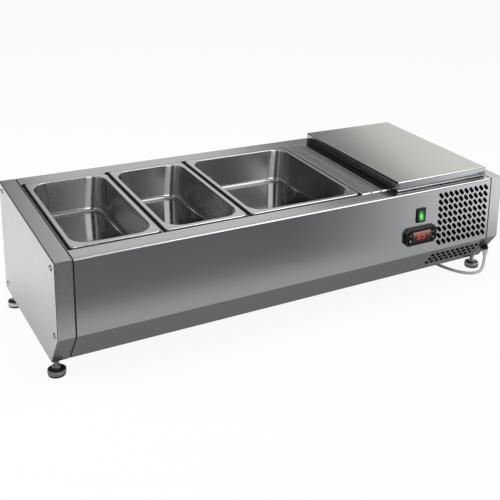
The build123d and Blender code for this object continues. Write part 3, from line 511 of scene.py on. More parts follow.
def makePan(name, x, width):
    halfX, halfY = width / 2 - pan["play"], pan["length"] / 2 - pan["play"]
    wall, edge, guard, bend = pan["wall"], pan["edgeRadius"], pan["guard"], pan["rimRound"]
    top = pan["lip"] - pan["ledgeDrop"]
    floor = top - pan["depth"] + wall
    slope = math.tan(math.radians(pan["draft"]))
    rings, kinds = [], []
    sheet, shade, side, bottom = range(4)

    # each ring names the finish of the band that follows it
    def ring(inset, above, corner, kind=sheet):
        rings.append(roundedRing(x, case["deckMid"], halfX - inset, halfY - inset, corner, above, pan["cornerSteps"]))
        kinds.append(kind)

    def wallInset(above):
        return pan["rim"] + wall + (top - above) * slope

    # the corners grow rounder towards the floor
    def wallCorner(above):
        share = (top - above) / (pan["depth"] - pan["floorRadius"])
        return pan["mouthCorner"] + (pan["floorCorner"] - pan["mouthCorner"]) * share

    # outside, from the bottom up to the underside of the rim
    radius, foot = pan["floorRadius"], pan["rim"] + pan["depth"] * slope
    ring(foot + radius, floor - wall, pan["floorCorner"] - radius)
    knee = pan["knee"] * radius
    ring(foot + knee, floor - wall + knee, pan["floorCorner"] - knee)
    ring(foot - radius * slope, floor - wall + radius, pan["floorCorner"] - wall)
    ring(pan["rim"] + pan["sink"], top - wall, pan["mouthCorner"] + wall)
    ring(wall, top - wall, pan["rimCorner"] - wall)
    # lip, then over the rim
    ring(wall, -pan["ledgeDrop"], pan["rimCorner"] - wall)
    ring(0, -pan["ledgeDrop"], pan["rimCorner"], shade)
    for step in range(pan["rimSteps"] + 1):
        turn = math.pi / 2 * step / pan["rimSteps"]
        inset = bend * (1 - math.cos(turn))
        kind = shade if step < pan["shadeSteps"] else sheet
        ring(inset, top - bend * (1 - math.sin(turn)), pan["rimCorner"] - inset, kind)
    ring(bend + guard, top, pan["rimCorner"] - bend - guard)
    ring(pan["rim"] + wall - edge - guard, top, pan["mouthCorner"] + edge + guard)
    # soft edge into the mouth
    for step in range(pan["edgeSteps"] + 1):
        turn = (math.pi / 2 - math.radians(pan["draft"])) * step / pan["edgeSteps"]
        above = top - edge * (1 - math.cos(turn))
        spread = edge * (1 - math.sin(turn))
        kind = sheet if step < pan["sheetSteps"] else side
        ring(pan["rim"] + wall - spread, above, pan["mouthCorner"] + spread, kind)
    # wall and the rounded floor
    for step in range(1, pan["wallSteps"] + 1):
        above = top - edge + (floor + radius - top + edge) * step / pan["wallSteps"]
        ring(wallInset(above), above, wallCorner(above), side)
    foot = wallInset(floor + radius)
    corner = wallCorner(floor + radius)
    for step in range(1, pan["floorSteps"] + 1):
        turn = math.pi / 2 * step / pan["floorSteps"]
        inset = radius * (1 - math.cos(turn))
        kind = side if step < pan["sideSteps"] else bottom
        ring(foot + inset, floor + radius * (1 - math.sin(turn)), corner - inset, kind)
    flat = radius + pan["floorGuard"]
    ring(foot + flat, floor, corner - flat, bottom)
    piece = addPiece(name, *loft(rings), panSteel)
    # painted shade: the lip and the rim's lowest steps go black, the walls and floor darker than the rim
    for material in (seamShade, panWall, panFloor):
        piece.data.materials.append(material)
    count = len(rings[0])
    for face in piece.data.polygons:
        face.material_index = kinds[min(face.index // count, len(kinds) - 1)]
    # the last two faces close the outside and the inside
    piece.data.polygons[len(piece.data.polygons) - 2].material_index = sheet
    return piece


for body, (x, width) in pan["places"].items():
    place(makePan(body + "_drawn", x, width), body, "polished_sheet", body)
print("pans drawn", len(pan["places"]))


# filler bars: folded channels with softened long edges and rounded ends
filler = {
    "places": {"filler_bar_1": 0.1625, "filler_bar_2": 0.1885, "filler_bar_3": 0.2145},
    "width": 0.0232, "length": 0.329, "low": -0.005, "top": 0.0008, "sideRound": 0.0014, "endRound": 0.004,
    "levels": 10, "corner": 0.0006, "topCorner": 0.0004, "topGuard": (0.0006, 0.001), "cornerSteps": 3,
}


# how far a rounded edge has drawn in at a height below its top
def drawnIn(below, radius):
    if below >= radius:
        return 0.0
    return radius - math.sqrt(radius * radius - (radius - below) ** 2)


def makeFiller(name, x):
    rings = []

    def ring(inX, inY, corner, above):
        halfX, halfY = filler["width"] / 2 - inX, filler["length"] / 2 - inY
        rings.append(roundedRing(x, case["deckMid"], halfX, halfY, corner, above, filler["cornerSteps"]))

    ring(0, 0, filler["corner"], filler["low"])
    for level in range(filler["levels"] + 1):
        share = math.sin(math.pi / 2 * level / filler["levels"])
        below = filler["endRound"] * (1 - share)
        inX, inY = drawnIn(below, filler["sideRound"]), drawnIn(below, filler["endRound"])
        ring(inX, inY, filler["corner"], filler["top"] - below)
    guardX, guardY = filler["topGuard"]
    ring(filler["sideRound"] + guardX, filler["endRound"] + guardY, filler["topCorner"], filler["top"])
    return addPiece(name, *loft(rings), barSteel)


for body, x in filler["places"].items():
    place(makeFiller(body + "_folded", x), body, "brushed_sheet", body)
print("filler bars folded", len(filler["places"]))


# machine cover: an inverted tray with a hem and softened edges
cover = {
    "x": 0.3575, "width": 0.255, "depth": 0.367, "low": 0.0015, "top": 0.0219, "sheet": 0.0012, "hem": 0.012,
    "round": 0.0036, "corner": 0.0032, "steps": 7, "bead": 0.0013, "beadSteps": 8,
    "guard": 0.0008, "beadGuard": 0.0006, "leastCorner": 0.0005, "cornerSteps": 4,
    "shadeBand": (0.0025, 0.009), "shadeBandLow": 0.0001, "shadeBandCorner": 0.0012,
}


def coverRing(inset, above, corner):
    halfX, halfY = cover["width"] / 2 - inset, cover["depth"] / 2 - inset
    return roundedRing(cover["x"], case["deckMid"], halfX, halfY, corner, above, cover["cornerSteps"])


def makeCover():
    rings = []

    def ring(inset, above):
        rings.append(coverRing(inset, above, max(cover["corner"] - inset, cover["leastCorner"])))

    low, top, sheet, bend = cover["low"], cover["top"], cover["sheet"], cover["round"]
    ring(sheet, top - sheet)
    ring(sheet, low + sheet)
    ring(cover["hem"], low + sheet)
    ring(cover["hem"], low)
    # a bead along the skirt's lower edge
    bead = cover["bead"]
    for step in range(cover["beadSteps"] + 1):
        turn = math.pi * (step / cover["beadSteps"] - 0.5)
        ring(-bead * math.cos(turn), low + bead * (1 + math.sin(turn)))
    skirtStart = len(rings)
    ring(0, low + 2 * bead + cover["beadGuard"])
    ring(0, top - bend - cover["guard"])
    for step in range(cover["steps"] + 1):
        turn = math.pi / 2 * step / cover["steps"]
        ring(bend * (1 - math.cos(turn)), top - bend * (1 - math.sin(turn)))
    ring(bend + cover["guard"], top)
    piece = addPiece("coverTray", *loft(rings), coverSteel)
    piece.data.materials.append(skirtSteel)
    # the skirt's two bands above the bead take the skirt's darker, bluer steel, a painted shade
    count = len(rings[0])
    for face in list(piece.data.polygons)[skirtStart * count:(skirtStart + 2) * count]:
        face.material_index = 1
    return piece


# painted shade: a black band under the hem, shaped like a rubber seal, that darkens the gap below the cover
def makeShadeBand():
    outside, inside = cover["shadeBand"]
    low, high = cover["shadeBandLow"], cover["low"]
    section = ((outside, low), (outside, high), (inside, high), (inside, low), (outside, low))
    rings = [coverRing(inset, above, cover["shadeBandCorner"]) for inset, above in section]
    return addPiece("coverShadeBand", *loft(rings, False, False), seamShade)


place(makeCover(), "machine_cover", "brushed_sheet", "machine_cover")
place(makeShadeBand(), "machine_cover", "black_rubber")
print("cover folded")


# front panel: one folded sheet with its slots and control holes cut by node trees
panel = {
    "topBend": 0.0042, "bend": 0.0025, "bendSteps": 7, "guard": 0.0008, "thick": 0.0008, "end": 0.4849,
    "topReturn": 0.012, "bottomReturn": 0.025, "sharp": 25.0, "cutDepth": 0.012, "cutSides": 20, "lean": -45,
    "columns": 10, "rows": 8, "chamferRows": 3, "pitch": 0.0148, "rowPitch": 0.0156,
    "slotLength": 0.0172, "slotWidth": 0.0084, "ventX": 0.40498, "ventZ": 0.1715, "ventDown": 0.040,
    "controlX": 0.282, "switchZ": 0.191, "thermostatZ": 0.1448,
    "switchHole": (0.0236, 0.0306), "thermostatHole": (0.0716, 0.0296),
}


# corners of a fold line replaced by arcs, in the plane across the panel
def foldLine(corners, radii, steps):
    line = [Vector(corners[0])]
    for before, here, after, radius in zip(corners, corners[1:], corners[2:], radii):
        here = Vector(here)
        toBefore = (Vector(before) - here).normalized()
        toAfter = (Vector(after) - here).normalized()
        half = toBefore.angle(toAfter) / 2
        reach = radius / math.tan(half)
        centre = here + (toBefore + toAfter).normalized() * radius / math.sin(half)
        start = here + toBefore * reach - centre
        end = here + toAfter * reach - centre
        line.append(centre + start + toBefore * panel["guard"])
        for step in range(steps + 1):
            line.append(centre + start.slerp(end, step / steps) * radius)
        line.append(centre + end + toAfter * panel["guard"])
    line.append(Vector(corners[-1]))
    return line


def makeSheet():
    y, thick = case["frontY"], panel["thick"]
    topZ, back = case["frontZ"], panel["topReturn"]
    corners = [
        (y + back * deckCos, topZ + back * deckSin), (y, topZ), (y, case["foldZ"]),
        (y + case["chamferBack"], case["baseZ"]), (y + case["chamferBack"] + panel["bottomReturn"], case["baseZ"]),
    ]
    outer = foldLine(corners, (panel["topBend"], panel["bend"], panel["bend"]), panel["bendSteps"])
    inner = []
    for number, point in enumerate(outer):
        before = outer[max(number - 1, 0)]
        after = outer[min(number + 1, len(outer) - 1)]
        way = (after - before).normalized()
        inner.append(point + Vector((-way.y, way.x)) * thick)
    section = outer + list(reversed(inner))
    rings = [[Vector((x, p.x, p.y)) for p in section] for x in (-panel["end"], panel["end"])]
    verts, faces = loft(rings, False, False)
    count = len(section)
    for end, base in ((0, 0), (1, count)):
        for i in range(len(outer) - 1):
            quad = (base + i, base + i + 1, base + count - 2 - i, base + count - 1 - i)
            faces.append(quad if end else tuple(reversed(quad)))
    return addPiece("frontSheet", verts, faces, frontSteel, panel["sharp"])


def makeSlotTree():
    g, given = openTree(
        "slotGrid", Columns="Int", Rows="Int", Pitch="Float", RowPitch="Float", SlotLength="Float",
        SlotWidth="Float", Lean="Float", Seat="Vector", Tilt="Vector", CutEdge="Material",
    )
    grid = g.geo(
        "MeshGrid", Vertices_X=given["Columns"], Vertices_Y=given["Rows"],
        Size_X=(given["Columns"] - 1) * given["Pitch"], Size_Y=(given["Rows"] - 1) * given["RowPitch"],
    )
    # a round cutter pulled out to the slot's length
    cutter = g.geo("MeshCylinder", Vertices=panel["cutSides"], Radius=given["SlotWidth"] / 2, Depth=panel["cutDepth"])
    pull = g.vector(sideOf(g) * (given["SlotLength"] - given["SlotWidth"]) / 2)
    # the cutter's finish puts the painted shade on the walls it cuts
    cutter = coated(g, g.geo("SetPosition", Geometry=cutter, Offset=pull), given["CutEdge"])
    many = g.geo("InstanceOnPoints", Points=grid, Instance=cutter, Rotation=g.vector(0, 0, given["Lean"]))
    many = g.geo("RealizeInstances", Geometry=many)
    many = moved(g, many, Translation=given["Seat"], Rotation=given["Tilt"])
    return closeTree(g, cutAway(g, given["Start"], many))


def makeHoleTree():
    g, given = openTree("controlHole", Seat="Vector", Size="Vector", CutEdge="Material")
    block = moved(g, g.geo("MeshCube", Size=given["Size"]), Translation=given["Seat"])
    return closeTree(g, cutAway(g, given["Start"], coated(g, block, given["CutEdge"])))


def makeFrontPanel():
    piece = makeSheet()
    tree, holeTree = makeSlotTree(), makeHoleTree()
    chamferTilt = math.pi / 2 + math.atan2(case["chamferBack"], case["foldZ"] - case["baseZ"])
    downY, downZ = panel["ventDown"] * math.cos(chamferTilt), panel["ventDown"] * math.sin(chamferTilt)
    # the upright face's slots, then the slanted face's
    fields = (
        (panel["rows"], case["frontY"], panel["ventZ"], math.pi / 2),
        (panel["chamferRows"], case["frontY"] - downY, case["foldZ"] - downZ, chamferTilt),
    )
    for rows, y, z, tilt in fields:
        runTree(
            piece, tree, Columns=panel["columns"], Rows=rows, Pitch=panel["pitch"], RowPitch=panel["rowPitch"],
            SlotLength=panel["slotLength"], SlotWidth=panel["slotWidth"], Lean=math.radians(panel["lean"]),
            Seat=(panel["ventX"], y, z), Tilt=(tilt, 0, 0), CutEdge=cutEdge,
        )
    # holes behind the switch and the thermostat
    for control in ("switch", "thermostat"):
        wide, tall = panel[control + "Hole"]
        seat = (panel["controlX"], case["frontY"], panel[control + "Z"])
        runTree(piece, holeTree, Seat=seat, Size=(wide, panel["cutDepth"], tall), CutEdge=cutEdge)
    return settle(piece, panel["sharp"])


frontSheet = makeFrontPanel()
place(frontSheet, "case", "brushed_sheet", "front_panel")
print("front panel cut", len(frontSheet.data.polygons), "faces,", len(frontSheet.data.materials), "finishes")


# deck: the CAD sheet, drawn back in front to where the front panel's fold ends
def makeDeck():
    work = bmesh.new()
    work.from_mesh(nodes["deck_sheet"].data)
    work.transform(nodes["deck_sheet"].matrix_world)
    bmesh.ops.remove_doubles(work, verts=work.verts, dist=0.000002)
    for vert in work.verts:
        along = (vert.co.y - case["frontY"]) * deckCos + (vert.co.z - case["frontZ"]) * deckSin
        if along < panel["topReturn"] / 2:
            vert.co += Vector((0, deckCos, deckSin)) * (panel["topReturn"] - along)
        vert.co.x = min(max(vert.co.x, -panel["end"]), panel["end"])
    work.verts.index_update()
    verts = [vert.co.copy() for vert in work.verts]
    faces = [[vert.index for vert in face.verts] for face in work.faces]
    work.free()
    return addPiece("deckPlate", verts, faces, deckSteel)


place(makeDeck(), "case", "brushed_sheet", "deck_sheet")
print("deck laid")


# screws in the end caps: domed heads with a cross recess
screw = {
    "radius": 0.006, "height": 0.0032, "recess": 0.0052, "armShare": 0.2, "capX": 0.520,
    "segments": 28, "rings": 16, "block": 0.02,
    "seats": [(-0.1755, 0.227), (-0.1755, 0.099), (0.1845, 0.25525), (0.1845, 0.049)],
}


def makeScrews():
    g, given = openTree("domeScrews", Radius="Float", Height="Float", Recess="Float", Steel="Material")
    ball = g.geo("MeshUVSphere", Segments=screw["segments"], Rings=screw["rings"], Radius=given["Radius"])
    dome = moved(g, ball, Scale=g.vector(1, 1, given["Height"] / given["Radius"]))
    # the ball's lower half is cut off, then a cross into its top
    below = g.geo("MeshCube", Size=(screw["block"],) * 3)
    cuts = [moved(g, below, Translation=(0, 0, -screw["block"] / 2))]
    narrow = given["Recess"] * screw["armShare"]
    for wide, deep in ((given["Recess"], narrow), (narrow, given["Recess"])):
        arm = g.geo("MeshCube", Size=g.vector(wide, deep, given["Height"]))
        cuts.append(moved(g, arm, Translation=g.vector(0, 0, given["Height"])))
    head = cutAway(g, dome, cuts)
    face = g.vector(0, sideOf(g) * (math.pi / 2), 0)
    many = g.geo("InstanceOnPoints", Points=given["Start"], Instance=head, Rotation=face)
    tree = closeTree(g, many, given["Steel"])
    seats = [(side * screw["capX"], y, z) for side in (-1, 1) for y, z in screw["seats"]]
    piece = addPiece("capScrews", seats, [], brightSteel)
    runTree(piece, tree, Radius=screw["radius"], Height=screw["height"], Recess=screw["recess"], Steel=brightSteel)
    return settle(piece)


place(makeScrews(), "case", "bright_steel", "end_cap_screws")
print("screws set")


# levelling feet: steel cup and hexagon on a threaded stud, rubber pad below and rubber disc on top
foot = {
    "places": {
        "front_left": (-0.508, -0.1355), "front_right": (0.508, -0.1355),
        "rear_left": (-0.508, 0.1745), "rear_right": (0.508, 0.1745),
    },
    "cup": [(0.0160, 0.0040), (0.0168, 0.0042), (0.0170, 0.0048), (0.0170, 0.0112), (0.0167, 0.0118),
            (0.0160, 0.0120), (0.0156, 0.0119), (0.0155, 0.0112)],
    "hexagon": [(0.0086, 0.0112), (0.0092, 0.0118), (0.0092, 0.0184), (0.0086, 0.0190)],
    "pad": [(0.0148, 0.0), (0.0156, 0.0002), (0.0160, 0.0008), (0.0160, 0.0034), (0.0157, 0.0040)],
    "disc": [(0.0154, 0.0110), (0.0154, 0.0116), (0.0150, 0.0119), (0.0093, 0.0117)],
    "studRadius": 0.0050, "studLow": 0.0188, "studHigh": 0.0615, "threadPitch": 0.0016, "threadDepth": 0.0007,
    "threadSteps": 18, "ridgeSides": 4, "rodSides": 24,
}


def makeThreadTree():
    g, given = openTree(
        "studThread", Radius="Float", Depth="Float", Length="Float", Pitch="Float", Seat="Vector", Steel="Material",
    )
    core = given["Radius"] - given["Depth"]
    line = g.geo(
        "CurveSpiral", Resolution=foot["threadSteps"], Rotations=given["Length"] / given["Pitch"],
        Start_Radius=core, End_Radius=core, Height=given["Length"],
    )
    ridge = g.geo("CurvePrimitiveCircle", {"mode": "RADIUS"}, Resolution=foot["ridgeSides"], Radius=given["Depth"])
    thread = g.geo("CurveToMesh", Curve=line, Profile_Curve=ridge, Fill_Caps=True)
    rod = g.geo("MeshCylinder", Vertices=foot["rodSides"], Radius=core, Depth=given["Length"])
    rod = moved(g, rod, Translation=g.vector(0, 0, given["Length"] / 2))
    stud = moved(g, g.geo("JoinGeometry", Geometry=[thread, rod]), Translation=given["Seat"])
    whole = g.geo("JoinGeometry", Geometry=[given["Start"], stud])
    return closeTree(g, whole, given["Steel"])


threadTree = makeThreadTree()
for label, (x, y) in foot["places"].items():
    cup = turned(x, y, foot["cup"])
    hexagon = turned(x, y, foot["hexagon"], 6)
    steelFoot = addPiece("foot_" + label + "_steel", *together(cup, hexagon), brightSteel)
    runTree(
        steelFoot, threadTree, Radius=foot["studRadius"], Depth=foot["threadDepth"], Pitch=foot["threadPitch"],
        Length=foot["studHigh"] - foot["studLow"], Seat=(x, y, foot["studLow"]), Steel=brightSteel,
    )
    place(settle(steelFoot), "foot_" + label, "bright_steel", "foot_stud_" + label)
    rubber = together(turned(x, y, foot["pad"]), turned(x, y, foot["disc"]))
    padPiece = addPiece("foot_" + label + "_rubber", *rubber, blackRubber)
    place(padPiece, "foot_" + label, "black_rubber", "foot_pad_" + label)
print("feet turned", len(foot["places"]))


# condenser: a row of thin fins on the tube
fins = {"pitch": 0.0025, "thick": 0.0003}


def makeFins():
    low, high = [Vector(v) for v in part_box("condenser_fins")]
    g, given = openTree("finRow", Count="Int", Pitch="Float", Size="Vector", Seat="Vector", Metal="Material")
    step = g.vector(given["Pitch"])
    row = g.geo("MeshLine", Count=given["Count"], Start_Location=given["Seat"], Offset=step)
    many = g.geo("InstanceOnPoints", Points=row, Instance=g.geo("MeshCube", Size=given["Size"]))
    tree = closeTree(g, many, given["Metal"])
    width = high.x - low.x - fins["thick"]
    count = int(width / fins["pitch"]) + 1
    seat = Vector((low.x + fins["thick"] / 2, (low.y + high.y) / 2, (low.z + high.z) / 2))
    piece = addPiece("finStack", [seat], [], finCoat)
    size = (fins["thick"], high.y - low.y, high.z - low.z)
    runTree(piece, tree, Count=count, Pitch=width / (count - 1), Size=size, Seat=seat, Metal=finCoat)
    return settle(piece)


place(makeFins(), "case", "fin_aluminium", "condenser_fins")
print("fins set")


# thermostat: lit figures behind the window, signs on the keys and small lamps beside the window
display = {
    "x": 0.2800, "z": 0.1455, "faceY": -0.2052, "proud": 0.00025, "height": 0.0140, "width": 0.0088, "bar": 0.0019,
    "pitch": 0.0140, "slant": 0.10, "figures": ("abcdg", "acdfg"), "gap": 0.00025,
    "dot": 0.0011, "dotShift": 0.0006,
    "lampX": 0.3078, "lampZ": (0.1503, 0.1448, 0.1393), "lampRadius": 0.0011, "lampHeight": 0.0006,
    "lampDome": ((1.0, 0.0), (0.92, 0.45), (0.62, 0.8), (0.2, 1.0)), "bezelY": -0.2055, "roundSteps": 16,
    "keys": ("set", "up", "down", "defrost"), "sign": 0.0019, "signProud": 0.00015,
    "dotsRadius": 0.0013, "signDot": 0.0007, "dotSteps": 10,
}
digitRed = litLens("digitRed", (0.30, 0.01, 0.008), (1.0, 0.10, 0.07),
                   (display["x"], display["bezelY"], display["z"]), reach=(0.06, 0.05, 0.05), strength=0.75)
lampAmber = litLens("lampAmber", (0.5, 0.25, 0.05), (1.0, 0.45, 0.12),
                    (display["lampX"], display["bezelY"], display["lampZ"][1]),
                    reach=(0.02, 0.02, 0.02), strength=0.35)


# a flat outline in the panel's plane, thickened towards the front
def raised(outline, backY, proud):
    back = [Vector((x, backY, z)) for x, z in outline]
    front = [Vector((x, backY - proud, z)) for x, z in outline]
    return loft([back, front])


def segmentOutline(name):
    half, tall, bar, gap = display["width"] / 2, display["height"] / 2, display["bar"] / 2, display["gap"]
    level = {"a": tall - bar, "g": 0.0, "d": -tall + bar}
    if name in level:
        z, end = level[name], half - bar - gap
        return [(-end, z), (-end + bar, z - bar), (end - bar, z - bar),
                (end, z), (end - bar, z + bar), (-end + bar, z + bar)]
    x = half - bar if name in "bc" else -half + bar
    low, high = (gap, tall - bar - gap) if name in "bf" else (-tall + bar + gap, -gap)
    return [(x, low), (x + bar, low + bar), (x + bar, high - bar),
            (x, high), (x - bar, high - bar), (x - bar, low + bar)]


def makeFigures():
    shapes = []
    count = len(display["figures"])
    for number, lit in enumerate(display["figures"]):
        middle = display["x"] + (number - (count - 1) / 2) * display["pitch"]
        for name in lit:
            outline = [(middle + x + z * display["slant"], display["z"] + z) for x, z in segmentOutline(name)]
            shapes.append(raised(outline, display["faceY"], display["proud"]))
    dotX, dotZ = display["x"] - display["dotShift"], display["z"] - display["height"] / 2 + display["dot"]
    dot = circle(dotX, dotZ, display["dot"], display["roundSteps"])
    shapes.append(raised(dot, display["faceY"], display["proud"]))
    return addPiece("litFigures", *together(*shapes), digitRed)


def makeLamps():
    shapes = []
    for z in display["lampZ"]:
        rings = []
        for radius, proud in display["lampDome"]:
            y = display["bezelY"] - display["lampHeight"] * proud
            ring = circle(display["lampX"], z, display["lampRadius"] * radius, display["roundSteps"])
            rings.append([Vector((x, y, up)) for x, up in ring])
        shapes.append(loft(rings))
    return addPiece("stateLamps", *together(*shapes), lampAmber)


# one sign for each key: a triangle up, a triangle down, a square and three dots
def signOutlines(key):
    size = display["sign"]
    base = size * 0.8
    if key == "up":
        return [[(-size, -base), (size, -base), (0, size)]]
    if key == "down":
        return [[(-size, base), (0, -size), (size, base)]]
    if key == "set":
        return [[(-size, -size), (size, -size), (size, size), (-size, size)]]
    dots = []
    for turn in (90, 210, 330):
        way = math.radians(turn)
        x, z = display["dotsRadius"] * math.cos(way), display["dotsRadius"] * math.sin(way)
        dots.append(circle(x, z, display["signDot"], display["dotSteps"]))
    return dots


place(makeFigures(), "case", "red_window")
place(makeLamps(), "case", "red_window")
for key in display["keys"]:
    low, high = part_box("thermostat_key_" + key)
    middleX, middleZ = (low[0] + high[0]) / 2, (low[2] + high[2]) / 2
    shapes = []
    for outline in signOutlines(key):
        placed = [(middleX + x, middleZ + z) for x, z in outline]
        shapes.append(raised(placed, low[1], display["signProud"]))
    sign = addPiece("keySign_" + key, *together(*shapes), markPale)
    place(sign, "thermostat_key_" + key, "black_plastic")
print("thermostat marked")


greenLens = litLens("greenLens", (0.006, 0.10, 0.012), (0.22, 1.0, 0.24), (0.2815, -0.2005, 0.1890),
                    reach=(0.0088, 0.03, 0.0150), strength=1.4)


# the window's tinted plastic, dark red, with a painted reflection: a pale glow that grows towards its top
window = {"low": 0.1395, "height": 0.0165}


def sheenWindow(name):
    mat = Finish(name, Emission_Strength=1.0)
    height = mat.node("ShaderNodeSeparateXYZ", {}, {0: mat.spot}, 2)
    cloud = mat.noise(mat.spot, 210.0, detail=3.0)
    # painted reflection: base and emission grow paler towards the window's top
    high = ((height - window["low"]) / window["height"]).clamp()
    haze = (high * high * (0.45 + cloud * 1.1)).clamp()
    mat.feed(Base_Color=mat.blend(haze, (0.010, 0.002, 0.002), (0.06, 0.02, 0.02)))
    mat.feed(Emission_Color=mat.blend(haze, (0.012, 0.0008, 0.0006), (0.42, 0.20, 0.19)))
    mat.feed(Roughness=(0.07 + cloud * 0.06).clamp())
    return mat.mat


# the gland's nut is black; its tapered sleeve has the cord's colour
gland = {"way": (0.0, -0.3437, -0.9391), "seat": (0.504, -0.1733, 0.0672), "nut": 0.0085, "fade": 0.0006}


def glandFinish(name):
    mat = Finish(name)
    down = mat.measure("DOT_PRODUCT", gland["way"])
    start = sum(a * b for a, b in zip(gland["way"], gland["seat"]))
    sleeve = ((down - start - gland["nut"]) / gland["fade"]).clamp()
    speck = mat.noise(mat.spot, 900.0)
    mat.feed(Base_Color=mat.mixed(sleeve, (0.006, 0.006, 0.007, 1), (0.80, 0.80, 0.79, 1)))
    mat.feed(Roughness=(0.28 + sleeve * 0.14 + (speck - 0.5) * 0.1).clamp())
    mat.feed(Normal=mat.bump(speck, strength=0.05, distance=0.0002))
    return mat.mat


redWindow = sheenWindow("redWindow")
glandBlack = glandFinish("glandBlack")
# every CAD node gets a finish, also one whose place a piece above takes
finishes = {
    frontSteel: ("front_panel",),
    capSteel: ("left_end_cap", "right_end_cap"),
    deckSteel: ("deck_sheet",),
    coverSteel: ("machine_cover",),
    barSteel: (*filler["places"], "divider_left", "divider_right"),
    plainSteel: ("rear_panel",),
    zincSheet: ("base_pan", "machine_bulkhead", "fan_shroud"),
    seamShade: ("left_end_frame", "right_end_frame"),
    panSteel: tuple(pan["places"]),
    tubSteel: ("inner_tub",),
    brightSteel: ("end_cap_screws", "foot_nuts", *["foot_stud_" + label for label in foot["places"]]),
    blackRubber: ("cover_buffers", "compressor_mounts", *["foot_pad_" + label for label in foot["places"]]),
    blackPlastic: ("switch_housing", "thermostat_housing", "coil_tie",
                   *["thermostat_key_" + key for key in display["keys"]]),
    innerPlastic: ("compressor_terminal_cover", "fan_blade", "terminal_box", "temperature_probe"),
    blackPaint: ("compressor", "fan_motor"),
    foamYellow: ("insulation",),
    copperTube: ("evaporator", "condenser_tube", "filter_drier", "discharge_line", "liquid_line",
                 "capillary_line", "suction_line"),
    finCoat: ("condenser_fins",),
    cordVinyl: ("power_cord", "cord_coil", "power_plug"),
    greenLens: ("switch_rocker",),
    redWindow: ("thermostat_window",),
    glandBlack: ("cord_gland",),
}
for material, names in finishes.items():
    for name in names:
        nodes[name].data.materials.clear()
        nodes[name].data.materials.append(material)
print("finishes given to", sum(len(names) for names in finishes.values()), "nodes")


# studio: pale floor, soft lamps, and a tent of lit and dark cloth for the metal to reflect
# headings are degrees from straight behind the case, clockwise; rises are degrees above the table
studio = {
    "floor": 14.0, "world": 0.40, "tentRadius": 8.0, "tentRows": 60, "tentColumns": 240, "cloth": 0.16,
    "leanRise": 22, "tentTop": 89, "floorWhite": 0.93, "floorNear": 0.75, "floorTones": (0.84, 0.88), "floorGrain": 3.0,
    "parts": {
        "roof": {"heading": (-181, 181), "rise": (68, 95), "soft": 10, "tone": (0.8, 0.8)},
        "front": {"heading": (110, 178), "rise": (4, 42), "soft": 12, "tone": (0.15, 0.06)},
        "highStrip": {"heading": (74, 150), "rise": (40, 72), "soft": 8, "tone": (3.0, 3.0)},
        "window": {"heading": (9, 74), "rise": (2, 50), "soft": 7, "tone": (0.66, 1.06)},
        "screen": {"heading": (26, 39), "rise": (2, 34), "soft": 3, "tone": (0.17, 0.17), "lean": 1.68},
        "darkLeft": {"heading": (-68, -6), "rise": (-5, 72), "soft": 8, "tone": (0.02, 0.02)},
        "boxBehindCamera": {"heading": (169, 200), "rise": (3, 46), "soft": 4, "tone": (4.6, 4.6)},
        "boxLeftHalf": {"heading": (-200, -153), "rise": (3, 46), "soft": 4, "tone": (4.6, 4.6)},
        "leftWindow": {"heading": (-112, -76), "rise": (2, 50), "soft": 10, "tone": (0.4, 0.4)},
        "leftStrip": {"heading": (-124, -114), "rise": (8, 46), "soft": 4, "tone": (2.2, 2.2)},
    },
    # a plain card in front of the case: dark cloth that grows lighter towards its right end
    "card": {
        "y": -0.46, "x": (-1.6, 2.6), "top": 0.36, "dark": 0.15, "light": 1.2, "ramp": (0.1, 1.0), "columns": 84,
    },
    # plain mats on the table that the steel's lower parts mirror
    "mats": {
        "frontMat": {"x": (-0.66, 0.90), "y": (-0.46, -0.20), "z": 0.002, "tone": 0.5},
        "underMat": {"x": (-0.60, 0.70), "y": (-0.20, -0.10), "z": 0.002, "tone": 0.2},
        "cornerMat": {"x": (-1.8, -0.66), "y": (-1.3, -0.12), "z": 0.003, "tone": 0.03},
    },
}


def raySeen(g):
    ray = g.node("ShaderNodeLightPath", {}, {}, "Is Camera Ray")
    path = ray.socket.node.outputs
    shown = Link(g, path["Is Glossy Ray"]).highest(Link(g, path["Is Transmission Ray"]))
    return ray, shown


# an empty node tree for a material or the world
def bareTree(owner):
    owner.use_nodes = True
    g = Graph(owner.node_tree)
    g.tree.nodes.clear()
    return g


def showSurface(g, kind, shader):
    out = g.tree.nodes.new(kind)
    g.tree.links.new(shader.socket, out.inputs["Surface"])


def makeFloor():
    half = studio["floor"]
    mat = bpy.data.materials.new("paleFloor")
    g = bareTree(mat)
    eye, mirrored = raySeen(g)
    spot = g.node("ShaderNodeTexCoord", {}, {}, "Object")
    far = g.node("ShaderNodeVectorMath", {"operation": "LENGTH"}, {0: spot}, "Value")
    share = eye * studio["floorWhite"] + mirrored * (far - studio["floorNear"]).clamp()
    soft = g.node("ShaderNodeTexNoise", {}, {"Vector": spot, "Scale": studio["floorGrain"]})
    stops = [(number, (tone, tone, tone, 1)) for number, tone in enumerate(studio["floorTones"])]
    tone = g.node("ShaderNodeValToRGB", {"stops": stops}, {0: soft})
    matte = g.node("ShaderNodeBsdfDiffuse", {}, {"Color": tone})
    white = g.node("ShaderNodeEmission", {}, {"Color": (1, 1, 1, 1), "Strength": 1.0})
    mixed = g.node("ShaderNodeMixShader", {}, {0: share, 1: matte, 2: white})
    showSurface(g, "ShaderNodeOutputMaterial", mixed)
    corners = [(-half, -half, 0), (half, -half, 0), (half, half, 0), (-half, half, 0)]
    addPiece("floor", corners, [(0, 1, 2, 3)], mat)


def makeCloth():
    mat = bpy.data.materials.new("studioCloth")
    g = bareTree(mat)
    tone = g.node("ShaderNodeAttribute", {"attribute_name": "tone"}, {}, "Fac")
    cloth = g.node("ShaderNodeEmission", {}, {"Color": (1, 1, 1, 1), "Strength": tone})
    showSurface(g, "ShaderNodeOutputMaterial", cloth)
    return mat


studioCloth = makeCloth()


